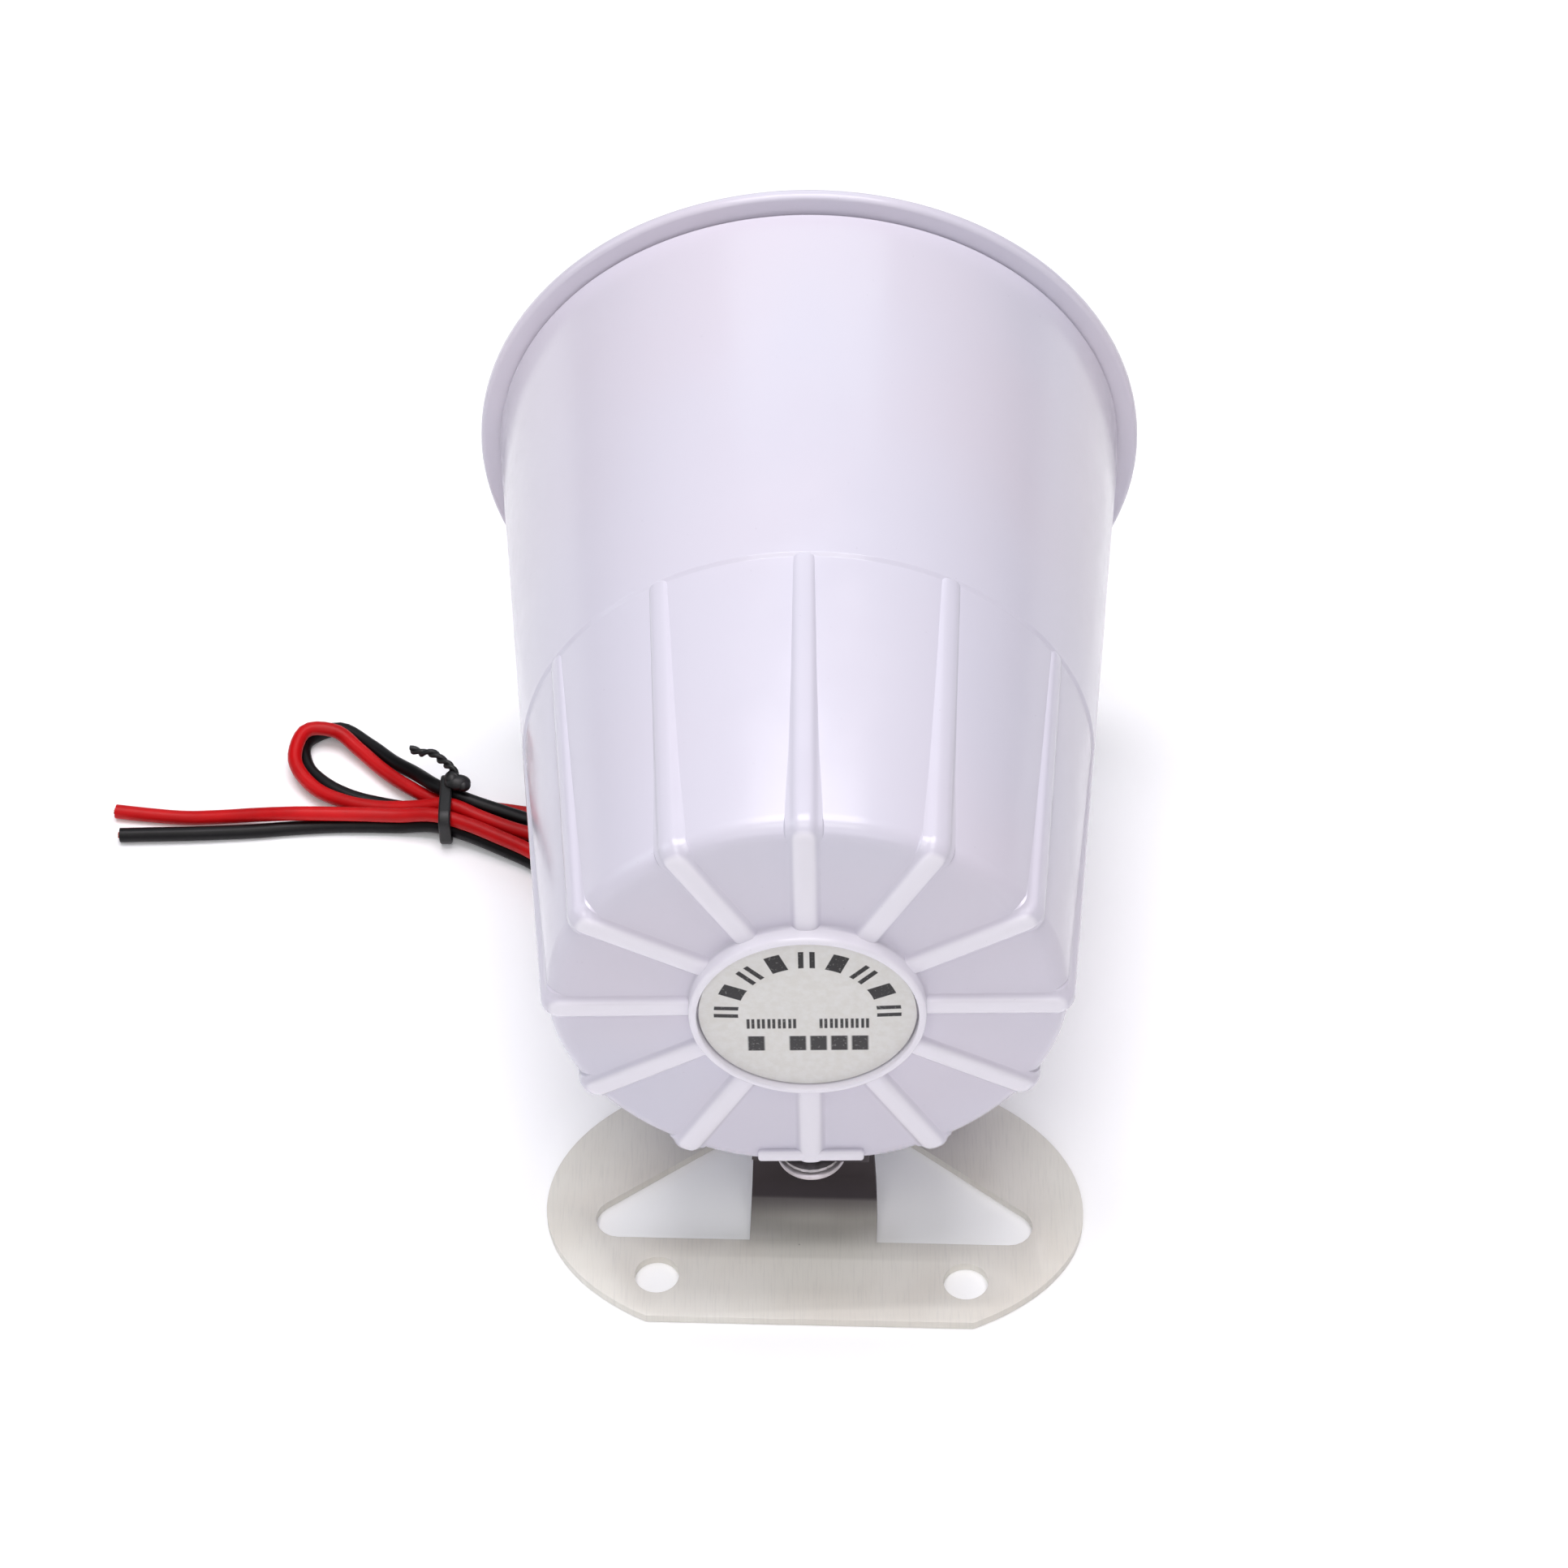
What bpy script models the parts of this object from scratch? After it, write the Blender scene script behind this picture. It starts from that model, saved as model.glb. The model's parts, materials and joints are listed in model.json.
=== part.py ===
"""Alarm siren: a re-entrant horn in a ribbed plastic housing that turns on a stamped steel foot.

World frame, metres: +Z up, +Y from the back plate to the horn mouth. The origin lies on the underside of
the foot, under the middle of the horn and in line with the foot's two screw holes.
"""

from math import cos, pi, radians, sin, sqrt, tau

import bmesh
import bpy
import numpy as np
from mathutils import Matrix, Vector

MM = 0.001
GAP = 0.3  # between neighbours that touch, mm like every other size here

# Horn and housing, along the horn's own axis from the rib tops of the back plate
AXIS_HEIGHT = 60.0
BACK_Y = 3.6
HOUSING_LENGTH = 117.6
BACK_RADIUS = 38.3
FRONT_RADIUS = 49.45
EDGE_ROUND = 3.0
WALL = 2.3
RIB_COUNT = 12
RIB_WIDTH = 3.3
PANEL_DEPTH = 0.9
PANEL_END = 50.0
RIM_RADIUS = 52.5
HORN_LENGTH = 120.0
RIM_ROUND = 0.9  # of the rim's two outer corners
BELL_WALL = 2.0
BELL_FLOOR = 40.2

# Label boss in the middle of the back plate
LABEL_RADIUS = 15.7
BOSS_RADIUS = 17.1
BOSS_HEIGHT = 1.8
LABEL_FACE = -0.8
LABEL_THICKNESS = 0.6

# Seat under the housing, and the screw that it turns on
SWIVEL_Y = 8.6
SEAT_DROP = 35.0
SEAT_RADIUS = 13.5
SEAT_BOSS = (26.0, 20.0, 28.0)  # width, length, drop of its top below the horn's axis
SCREW_RADIUS = 1.95
SCREW_HOLE_RADIUS = 2.35
HEAD_RADIUS = 5.2
INSERT_RADIUS = 3.2
INSERT_LENGTH = 4.5
INSERT_DROP = 32.2  # its lower end below the horn's axis

# Foot: one stamping, turned a little about the screw as it stands
FOOT_TURN = radians(-2.1)
SHEET = 1.5
FOOT_HALF_WIDTH = 41.25
FOOT_CENTRE_Y = 13.4
FOOT_FRONT_AXIS = 26.5
FOOT_REAR_AXIS = 29.0
FOOT_FRONT_Y = -7.8
FOOT_HOLE_X = 23.5
FOOT_HOLE_RADIUS = 3.4
ARM_BASE_Y = 7.1
ARM_WIDTH = 19.4
ARM_TOP_WIDTH = 17.4
ARM_BEND = 7.0
TAB_BEND = 1.2
TAB_END_Y = 5.3

# Compression driver, its heights counted from the back plate
DRIVER_BOLT = 28.0  # radius of the circle of its screws
DRIVER_BACK = 6.0
PLATE_RADIUS = 25.0
MAGNET_FROM = 11.0
MAGNET_TO = 22.7
TOP_PLATE = (23.0, 28.0)
SPACER_TO = 34.3
COVER = (34.6, 37.6)
COVER_RADIUS = 33.0
THROAT_END = 88.0
THROAT_RADIUS = 9.0

# Circuit board, under the horn bell
BOARD = (30.0, 24.0, 1.6)  # width, length, thickness
BOARD_CENTRE = 56.0
BOARD_DROP = 35.2
POST_X = 11.0

# Lead: two wires side by side
WIRE_RADIUS = 1.15
CORE_RADIUS = 0.75
PAIR = 1.3  # from the middle of the pair to the middle of each wire
EXIT_Y = 74.0
LEAD_HOLE_RADIUS = 4.0
WIRE_STEP = 6.0

# Middle of the pair, mm: x, y, z, turn of the red wire about the pair in degrees, half the pair's spacing.
# At a turn of 0 the red wire is on the left of the direction of travel, at 90 it is on top.
LEAD_ROUTE = (
    (0.0, 69.0, 27.6, 180, PAIR),
    (0.0, 73.0, 28.2, 180, PAIR),
    (0.0, 76.2, 25.6, 180, PAIR),
    (0.0, 77.5, 20.0, 180, PAIR),
    (0.0, 77.8, 13.0, 180, PAIR),
    (-0.8, 78.8, 7.0, 180, PAIR),
    (-4.0, 81.4, 3.0, 180, PAIR),
    (-10.0, 84.8, 1.5, 180, PAIR),
    (-18.0, 88.2, 1.3, 180, PAIR),
    (-28.0, 91.2, 1.3, 180, PAIR),
    (-38.0, 93.0, 1.5, 184, PAIR),
    (-48.0, 95.4, 2.4, 210, PAIR),
    (-60.3, 98.3, 3.7, 270, PAIR),
    (-66.6, 103.0, 2.9, 335, PAIR),
    (-72.2, 108.4, 1.9, 368, PAIR),
    (-77.2, 113.4, 2.1, 386, PAIR),
    (-81.4, 115.7, 2.5, 407, PAIR),
    (-85.2, 113.8, 2.6, 450, PAIR),
    (-86.0, 109.0, 2.3, 490, PAIR),
    (-83.6, 104.4, 1.9, 515, PAIR),
    (-79.2, 100.9, 1.8, 515, PAIR),
    (-73.6, 98.7, 1.9, 508, PAIR),
    (-67.4, 97.3, 2.3, 492, PAIR),
    (-60.6, 95.7, 3.7, 450, PAIR),
    (-54.0, 92.8, 3.1, 450, PAIR),
    (-47.0, 90.0, 2.6, 450, PAIR),
    (-39.0, 87.8, 2.5, 450, PAIR),
    (-31.0, 85.4, 2.5, 450, PAIR),
    (-25.4, 80.8, 2.5, 450, PAIR),
    (-26.4, 74.8, 2.5, 450, PAIR),
    (-33.0, 72.6, 2.5, 450, PAIR),
    (-38.6, 77.6, 2.5, 450, PAIR),
    (-42.8, 83.2, 2.6, 450, PAIR),
    (-49.4, 87.6, 3.0, 450, PAIR),
    (-60.8, 92.9, 3.7, 450, PAIR),
    (-68.6, 94.2, 2.7, 450, PAIR),
    (-77.0, 94.7, 2.5, 455, PAIR),
    (-85.0, 94.8, 2.3, 470, PAIR),
    (-94.0, 94.8, 1.7, 515, 1.4),
    (-104.0, 94.8, 1.25, 540, 1.8),
    (-116.0, 95.5, 1.25, 540, 2.7),
)
TIE_POINT = 23  # the route's middle crossing of the tie
END_STRIP = 0.8  # how far the cut copper reaches past each sleeve
BLACK_SHORTER = 1.5  # the black wire is cut back by this

parts = None
cutters = None


def rgb(red, green, blue):
    """Linear colour of an sRGB one given as 0 to 255."""
    shares = (red / 255, green / 255, blue / 255)
    return tuple(c / 12.92 if c <= 0.04045 else ((c + 0.055) / 1.055) ** 2.4 for c in shares) + (1,)


LOOKS = {
    "white_abs": (rgb(226, 222, 236), 0.25, 0.0),
    "label_paper": (rgb(210, 210, 205), 0.45, 0.0),
    "foot_steel": (rgb(200, 197, 190), 0.4, 0.85),
    "zinc": (rgb(196, 190, 192), 0.35, 0.9),
    "soft_iron": (rgb(120, 120, 122), 0.45, 0.95),
    "ferrite": (rgb(52, 52, 54), 0.7, 0.0),
    "copper": (rgb(190, 112, 70), 0.35, 1.0),
    "brass": (rgb(184, 158, 92), 0.35, 1.0),
    "film": (rgb(214, 190, 140), 0.4, 0.0),
    "board_green": (rgb(38, 98, 58), 0.5, 0.0),
    "black_epoxy": (rgb(28, 28, 30), 0.5, 0.0),
    "black_rubber": (rgb(26, 25, 26), 0.6, 0.0),
    "black_nylon": (rgb(18, 18, 20), 0.45, 0.0),
    "red_pvc": (rgb(206, 24, 28), 0.35, 0.0),
    "black_pvc": (rgb(24, 22, 26), 0.35, 0.0),
}


def material(look):
    found = bpy.data.materials.get(look)
    if found:
        return found
    colour, roughness, metallic = LOOKS[look]
    made = bpy.data.materials.new(look)
    made.use_nodes = True
    made.diffuse_color = colour
    shader = made.node_tree.nodes["Principled BSDF"]
    shader.inputs["Base Color"].default_value = colour
    shader.inputs["Roughness"].default_value = roughness
    shader.inputs["Metallic"].default_value = metallic
    return made


def start():
    """Clears the scene and makes the two collections."""
    global parts, cutters
    for obj in list(bpy.data.objects):
        bpy.data.objects.remove(obj)
    parts = bpy.data.collections.new("alarm_siren")
    cutters = bpy.data.collections.new("cutters")
    for group in (parts, cutters):
        bpy.context.scene.collection.children.link(group)


def add(name, data, look=None, parent=None):
    """A new object in the parts, or among the cutters when it has no look."""
    obj = bpy.data.objects.new(name, data)
    (parts if look else cutters).objects.link(obj)
    obj.parent = parent
    if look:
        data.materials.append(material(look))
    else:
        obj.hide_render = True
        obj.display_type = "WIRE"
    return obj


def place(obj, x=0.0, y=0.0, z=0.0):
    obj.location = (x * MM, y * MM, z * MM)
    return obj


def mesh_from(bm, name):
    mesh = bpy.data.meshes.new(name)
    bm.to_mesh(mesh)
    bm.free()
    mesh.shade_smooth()
    mesh.set_sharp_from_angle(angle=radians(35))
    return mesh


def turned(name, profile, look=None, parent=None, steps=48, closed=False):
    """A solid turned about its own Z axis. The profile, (radius, height) in mm, runs down its outer side."""
    mesh = bpy.data.meshes.new(name)
    points = [(radius * MM, 0, height * MM) for radius, height in profile]
    edges = [(i, i + 1) for i in range(len(points) - 1)]
    if closed:
        edges.append((len(points) - 1, 0))
    mesh.from_pydata(points, edges, [])
    obj = add(name, mesh, look, parent)
    screw = obj.modifiers.new("turn", "SCREW")
    screw.steps = steps
    screw.render_steps = steps
    screw.use_merge_vertices = True
    screw.merge_threshold = 0.00001
    screw.use_smooth_shade = True
    return obj


def ring(name, inner, outer, low, high, look, parent=None, steps=32):
    profile = ((outer, high), (outer, low), (inner, low), (inner, high))
    return turned(name, profile, look, parent, steps, closed=True)


def disc(name, radius, low, high, look=None, parent=None, steps=32):
    return turned(name, ((0, high), (radius, high), (radius, low), (0, low)), look, parent, steps)


def box(name, size, look=None, parent=None, round_by=0.0):
    bm = bmesh.new()
    bmesh.ops.create_cube(bm, size=1, matrix=Matrix.Diagonal([s * MM for s in size] + [1]))
    obj = add(name, mesh_from(bm, name), look, parent)
    if round_by:
        bevel = obj.modifiers.new("edges", "BEVEL")
        bevel.width = round_by * MM
        bevel.segments = 2
        bevel.use_clamp_overlap = True
    return obj


def flat(name, outlines, thickness, look=None, parent=None):
    """A plate from flat outlines in mm: the first is its edge, the others are its holes."""
    curve = bpy.data.curves.new(name, "CURVE")
    curve.dimensions = "2D"
    curve.fill_mode = "BOTH"
    curve.extrude = thickness / 2 * MM
    for outline in outlines:
        spline = curve.splines.new("POLY")
        spline.points.add(len(outline) - 1)
        for point, (x, y) in zip(spline.points, outline):
            point.co = (x * MM, y * MM, 0, 1)
        spline.use_cyclic_u = True
    return as_mesh(add(name, curve, look, parent))


def as_mesh(obj):
    """The same object with its curve made a closed mesh."""
    graph = bpy.context.evaluated_depsgraph_get()
    mesh = bpy.data.meshes.new_from_object(obj.evaluated_get(graph))
    bm = bmesh.new()
    bm.from_mesh(mesh)
    bmesh.ops.remove_doubles(bm, verts=bm.verts, dist=0.000001)
    bm.to_mesh(mesh)
    bm.free()
    name, parent, home = obj.name, obj.parent, obj.users_collection[0]
    matrix, hidden, display = obj.matrix_world.copy(), obj.hide_render, obj.display_type
    bpy.data.objects.remove(obj)
    made = bpy.data.objects.new(name, mesh)
    home.objects.link(made)
    made.parent = parent
    made.matrix_world = matrix
    made.hide_render = hidden
    made.display_type = display
    return made


def tube(name, points, radius, look, parent=None, sides=2):
    """A wire along points given in mm."""
    curve = bpy.data.curves.new(name, "CURVE")
    curve.dimensions = "3D"
    curve.bevel_depth = radius * MM
    curve.bevel_resolution = sides
    curve.use_fill_caps = True
    spline = curve.splines.new("POLY")
    spline.points.add(len(points) - 1)
    for point, where in zip(spline.points, points):
        point.co = (*(c * MM for c in where), 1)
    return add(name, curve, look, parent)


def combine(obj, other, operation):
    """A Boolean of one object with another. What is joined is hidden with the cutters."""
    modifier = obj.modifiers.new(f"{operation.lower()} {other.name}", "BOOLEAN")
    modifier.operation = operation
    modifier.object = other
    modifier.solver = "EXACT"
    return obj


def circle(radius, x=0.0, y=0.0, count=24):
    return [(x + radius * cos(tau * i / count), y + radius * sin(tau * i / count)) for i in range(count)]


def arc(x, y, radius, first, last, count):
    """Points on an arc, angles in degrees."""
    angles = np.radians(np.linspace(first, last, count))
    return [(x + radius * cos(a), y + radius * sin(a)) for a in angles]


def housing_radius(along):
    """Outer radius of the housing at a distance from the back plate."""
    return BACK_RADIUS + (FRONT_RADIUS - BACK_RADIUS) * along / HOUSING_LENGTH


def horn_frame():
    """Empties: one on the screw's axis, which turns, and one at the back plate along the horn's axis."""
    turning = bpy.data.objects.new("turning_head", None)
    parts.objects.link(turning)
    place(turning, y=SWIVEL_Y)
    axis = bpy.data.objects.new("horn_axis", None)
    parts.objects.link(axis)
    axis.parent = turning
    place(axis, y=BACK_Y - SWIVEL_Y, z=AXIS_HEIGHT)
    axis.rotation_euler = (radians(-90), 0, 0)
    bpy.context.view_layer.update()
    return turning, axis


def skin_profile(inset, end, count=4):
    """Outer line of the housing, set in by some distance: from its end down the side and over the back."""
    side = [(housing_radius(end) - inset, end), (housing_radius(EDGE_ROUND) - inset, EDGE_ROUND + inset)]
    corner = side[-1][0] - EDGE_ROUND
    edge = arc(corner, EDGE_ROUND + inset, EDGE_ROUND, 0, -90, count)
    return side + edge[1:] + [(0, inset)]


def rear_housing(axis):
    """Tapered cup with recessed panels between radial ribs, a label boss and a flat seat underneath."""
    inner = skin_profile(PANEL_DEPTH + WALL, HOUSING_LENGTH)
    inner[0] = (FRONT_RADIUS - WALL, HOUSING_LENGTH)
    inner.insert(1, (housing_radius(PANEL_END + 2 * WALL) - WALL, PANEL_END + 2 * WALL))
    inner.insert(2, (housing_radius(PANEL_END) - WALL - PANEL_DEPTH, PANEL_END - WALL))
    outer = [(FRONT_RADIUS, HOUSING_LENGTH), (housing_radius(PANEL_END), PANEL_END)]
    outer += skin_profile(PANEL_DEPTH, PANEL_END)
    cup = turned("rear_housing", inner[::-1] + outer, "white_abs", axis, steps=60)

    band = skin_profile(2.2, PANEL_END + 1)[::-1] + skin_profile(0.02, PANEL_END + 1)
    tops = turned("rib_tops", band, None, axis, 60)
    notch = RIB_WIDTH / 2 / sin(pi / RIB_COUNT)
    star = []
    for i in range(RIB_COUNT):
        angle = tau * i / RIB_COUNT
        along = Vector((cos(angle), sin(angle)))
        across = Vector((-along.y, along.x)) * RIB_WIDTH / 2
        star += [tuple(along * 60 - across), tuple(along * 60 + across)]
        halfway = angle + pi / RIB_COUNT
        star.append((notch * cos(halfway), notch * sin(halfway)))
    ribs = place(flat("rib_star", [star], 70, None, axis), z=20)
    strip = place(box("seat_strip", (17, 6, 12), None, axis), y=SEAT_DROP + 0.3, z=0)
    combine(ribs, strip, "UNION")
    combine(tops, ribs, "INTERSECT")
    combine(cup, tops, "UNION")

    lip = (
        (0, 2.9),
        (BOSS_RADIUS + 0.1, 2.9),
        (BOSS_RADIUS, 0.4 - BOSS_HEIGHT),
        (BOSS_RADIUS - 0.4, -BOSS_HEIGHT),
        (BOSS_RADIUS - 0.8, -BOSS_HEIGHT),
        (LABEL_RADIUS + GAP, 0.3 - BOSS_HEIGHT),
        (LABEL_RADIUS + GAP, LABEL_FACE + LABEL_THICKNESS + GAP),
        (0, LABEL_FACE + LABEL_THICKNESS + GAP),
    )
    combine(cup, turned("label_boss", lip, None, axis, 48), "UNION")

    width, length, drop = SEAT_BOSS
    block = place(box("seat_block", (width, 20, length), None, axis), y=drop + 10, z=length / 2 + 1.5)
    inside = turned("seat_limit", [(0, 60)] + skin_profile(PANEL_DEPTH + 0.5, 60), None, axis, 60)
    combine(block, inside, "INTERSECT")
    combine(cup, block, "UNION")
    deep = sqrt(housing_radius(BOARD_CENTRE) ** 2 - POST_X**2) - WALL / 2
    for side in (-1, 1):
        post = disc("board_post", 2.6, -deep, -BOARD_DROP - GAP, None, axis, 16)
        combine(cup, upright(post, side * POST_X, BOARD_CENTRE), "UNION")
        hole = disc("post_hole", 1.4, 1.2 - deep, -BOARD_DROP + 2, None, axis, 12)
        combine(cup, upright(hole, side * POST_X, BOARD_CENTRE), "DIFFERENCE")

    along = SWIVEL_Y - BACK_Y
    seat = upright(disc("seat_cut", SEAT_RADIUS, -70, -SEAT_DROP, None, axis, 48), 0, along)
    bore = upright(disc("screw_bore", SCREW_HOLE_RADIUS, -40, -20, None, axis, 20), 0, along)
    pocket = disc("insert_pocket", INSERT_RADIUS + GAP, -INSERT_DROP - GAP, -20, None, axis, 24)
    upright(pocket, 0, along)
    lead_hole = upright(disc("lead_hole", LEAD_HOLE_RADIUS, -60, -30, None, axis, 24), 0, EXIT_Y)
    for cutter in (seat, bore, pocket, lead_hole):
        combine(cup, cutter, "DIFFERENCE")
    return cup


def upright(obj, x, along):
    """Stands a piece turned about Z upright under the horn's axis, its heights counted from that axis."""
    obj.matrix_parent_inverse = Matrix.Identity(4)
    obj.rotation_euler = (radians(90), 0, 0)
    return place(obj, x=x, z=along)


def bell_line(along):
    """Inner radius of the horn bell, widening ever faster towards the mouth."""
    share = (along - BELL_FLOOR) / (HORN_LENGTH - BELL_FLOOR)
    return 22.0 + 20.0 * share**1.35 + 7.0 * share**12


def horn_bell(axis):
    """Bell with a rolled rim, a floor with a hole for the throat, and three posts for the driver's screws."""
    stations = np.linspace(BELL_FLOOR + 3, HORN_LENGTH - 1.2, 11)
    inside = [(9.4, BELL_FLOOR), (bell_line(BELL_FLOOR) - 2.5, BELL_FLOOR)]
    inside += [(bell_line(s), s) for s in stations]
    rim = [(RIM_RADIUS - 2.2, HORN_LENGTH)]
    rim += arc(RIM_RADIUS - RIM_ROUND, HORN_LENGTH - RIM_ROUND, RIM_ROUND, 90, 0, 4)
    rim += arc(RIM_RADIUS - RIM_ROUND, HOUSING_LENGTH + GAP + RIM_ROUND, RIM_ROUND, 0, -90, 4)
    skirt = FRONT_RADIUS - WALL - 2 * GAP
    rim += [(skirt, HOUSING_LENGTH + GAP), (skirt - GAP, HOUSING_LENGTH - 3)]
    outside = [(bell_line(s) + BELL_WALL, s) for s in stations[:-1][::-1] if s < HOUSING_LENGTH - 5]
    floor = [(bell_line(BELL_FLOOR) + BELL_WALL - 1, BELL_FLOOR - 2.2), (9.4, BELL_FLOOR - 2.2)]
    bell = turned("horn_bell", inside + rim + outside + floor, "white_abs", axis, 56, closed=True)
    for angle in screw_angles():
        x, y = DRIVER_BOLT * cos(angle), DRIVER_BOLT * sin(angle)
        post = place(disc("bell_post", 3.5, BELL_FLOOR - 2.2, 52, None, axis, 16), x, y)
        combine(bell, post, "UNION")
        hole = place(disc("bell_post_hole", 1.8, BELL_FLOOR - 4, 50, None, axis, 12), x, y)
        combine(bell, hole, "DIFFERENCE")
    return bell


def screw_angles():
    return [radians(90 + 120 * i) for i in range(3)]


def throat(axis):
    """Driver cover: a flange and the tube that leads the sound forwards into the reflector."""
    low, high = COVER
    profile = (
        (7.6, THROAT_END),
        (THROAT_RADIUS, THROAT_END),
        (THROAT_RADIUS, high),
        (COVER_RADIUS, high),
        (COVER_RADIUS, low),
        (6.2, low),
    )
    cover = turned("driver_cover", profile, "black_epoxy", axis, 36, closed=True)
    for angle in screw_angles():
        hole = disc("cover_hole", 1.8, 30, 41, None, axis, 12)
        combine(cover, place(hole, DRIVER_BOLT * cos(angle), DRIVER_BOLT * sin(angle)), "DIFFERENCE")
    return cover


def reflector(axis):
    """Bullet inside the horn that turns the sound back once, on three fins that grip the throat tube."""
    nose = [(15.6 * cos(a), THROAT_END + 15 * sin(a)) for a in np.linspace(pi / 2, 0, 7)]
    nose[0] = (0, nose[0][1])
    dome = [(13.6 * cos(a), THROAT_END + 12.6 * sin(a)) for a in np.linspace(0, pi / 2, 6)]
    dome[-1] = (0, dome[-1][1])
    cup = turned("reflector", nose + [(19.5, 52), (17.5, 52)] + dome, "white_abs", axis, 40)
    for angle in screw_angles():
        fin = place(box("fin", (8.8, 2, 20), None, axis), 13.9 * cos(angle), 13.9 * sin(angle), 68)
        fin.rotation_euler = (0, 0, angle)
        combine(cup, fin, "UNION")
    return cup


def driver(axis):
    """Compression driver: yoke with its pole, magnet, top plate, spacer, voice coil and diaphragm."""
    yoke = ((0, 27), (9.5, 27), (9.5, MAGNET_FROM), (PLATE_RADIUS, MAGNET_FROM))
    yoke += ((PLATE_RADIUS, DRIVER_BACK), (0, DRIVER_BACK))
    turned("driver_yoke", yoke, "soft_iron", axis, 36)
    ring("driver_magnet", 13, 27, MAGNET_FROM + GAP, MAGNET_TO, "ferrite", axis)
    ring("top_plate", 11.2, PLATE_RADIUS, *TOP_PLATE, "soft_iron", axis)
    ring("driver_spacer", 20.8, 24.6, TOP_PLATE[1] + GAP, SPACER_TO, "black_epoxy", axis)
    ring("voice_coil", 9.9, 10.8, 24.5, 31, "copper", axis)
    dome = [(10.4 * sin(a), 31.9 + 1.5 * cos(a)) for a in np.linspace(0, pi / 2, 5)]
    line = dome + [(12.5, 31.4), (15, 32.3), (17.5, 31.6), (20, 31.6)]
    under = [(radius, height - 0.5) for radius, height in line[:0:-1]] + [(0, line[0][1] - 0.5)]
    turned("diaphragm", line + under, "film", axis, 32)
    head = COVER[0] - GAP
    screw = ((0, 48), (1.5, 48), (1.5, head), (3, head), (2.6, head - 2.1), (0, head - 2.1))
    for i, angle in enumerate(screw_angles()):
        piece = turned(f"driver_screw_{i + 1}", screw, "zinc", axis, 12)
        place(piece, DRIVER_BOLT * cos(angle), DRIVER_BOLT * sin(angle))


def electronics(axis):
    """Circuit board on two posts, with what drives the tone."""
    width, length, thick = BOARD
    middle = -BOARD_DROP + thick / 2
    face = -BOARD_DROP + thick + GAP
    board = box("circuit_board", (width, thick, length), "board_green", axis)
    place(board, y=-middle, z=BOARD_CENTRE)
    for i, side in enumerate((-1, 1)):
        hole = upright(disc("board_hole", 1.5, -40, -30, None, axis, 12), side * POST_X, BOARD_CENTRE)
        combine(board, hole, "DIFFERENCE")
        screw = ((0, face + 1.5), (1.6, face + 1.5), (2.4, face), (1.1, face), (1.1, -39.0), (0, -39.0))
        upright(turned(f"board_screw_{i + 1}", screw, "zinc", axis, 12), side * POST_X, BOARD_CENTRE)
    pieces = (
        ("tone_chip", (9.0, 6.2, 3.2), 0.0, 56.0),
        ("power_transistor", (6.5, 4.5, 4.6), -6.6, 62.6),
    )
    for name, (across, along, high), x, where in pieces:
        chip = box(name, (across, high, along), "black_epoxy", axis, 0.3)
        place(chip, x=x, y=-(face + high / 2), z=where)
    can = ((0, face + 5), (2.8, face + 5), (3.2, face + 4.6), (3.2, face), (0, face))
    upright(turned("capacitor", can, "black_pvc", axis, 20), -10.6, 49.0)
    core = ((0, face + 4.6), (3.9, face + 4.6), (3.9, face + 3.8), (3.0, face + 3.4), (3.0, face + 1.2))
    core += ((3.9, face + 0.8), (3.9, face), (0, face))
    upright(turned("choke", core, "ferrite", axis, 20), 8.6, 63.0)
    for i, side in enumerate((-1, 1)):
        route = [(side * 6.0, 47.5, -32.7), (side * 6.0, 44.8, -32.5), (side * 6.0, 42.3, -33.6)]
        route += [(side * 6.0, 40.0, -35.4), (side * 6.0, 36.5, -35.9), (side * 6.0, 33.6, -34.2)]
        route += [(side * 6.0, 32.0, -30.0), (side * 6.0, 31.2, -24.5)]
        points = [(x, -drop, along) for x, along, drop in smooth(route, 1.6)]
        tube(f"coil_lead_{i + 1}", points, 0.5, "red_pvc" if side < 0 else "black_pvc", axis, sides=1)


def smooth(route, step):
    """Points about one step apart on a curve through every point of a route, which may have any columns."""
    rows = np.array(route, float)
    rows = np.vstack([2 * rows[0] - rows[1], rows, 2 * rows[-1] - rows[-2]])
    fine = []
    for p0, p1, p2, p3 in zip(rows, rows[1:], rows[2:], rows[3:]):
        for t in np.linspace(0, 1, 20, endpoint=False):
            bend = 2 * p0 - 5 * p1 + 4 * p2 - p3
            swing = 3 * p1 - p0 - 3 * p2 + p3
            fine.append((2 * p1 + (p2 - p0) * t + bend * t**2 + swing * t**3) / 2)
    fine.append(rows[-2])
    fine = np.array(fine)
    run = np.concatenate([[0], np.cumsum(np.linalg.norm(np.diff(fine[:, :3], axis=0), axis=1))])
    stops = np.linspace(0, run[-1], max(2, round(run[-1] / step)) + 1)
    return np.stack([np.interp(stops, run, column) for column in fine.T], axis=1)


def pair_points(route, side, step):
    """Middle of one wire of the pair: the red one on side 1, the black one on side -1."""
    rows = smooth(route, step)
    middle, turn, spacing = rows[:, :3], np.radians(rows[:, 3]), rows[:, 4]
    heading = np.gradient(middle, axis=0)
    heading[:, 2] = 0
    heading /= np.linalg.norm(heading, axis=1)[:, None]
    left = np.stack([-heading[:, 1], heading[:, 0], np.zeros(len(rows))], axis=1)
    up = np.array([0.0, 0.0, 1.0])
    away = left * np.cos(turn)[:, None] + up * np.sin(turn)[:, None]
    return middle + side * spacing[:, None] * away


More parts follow.
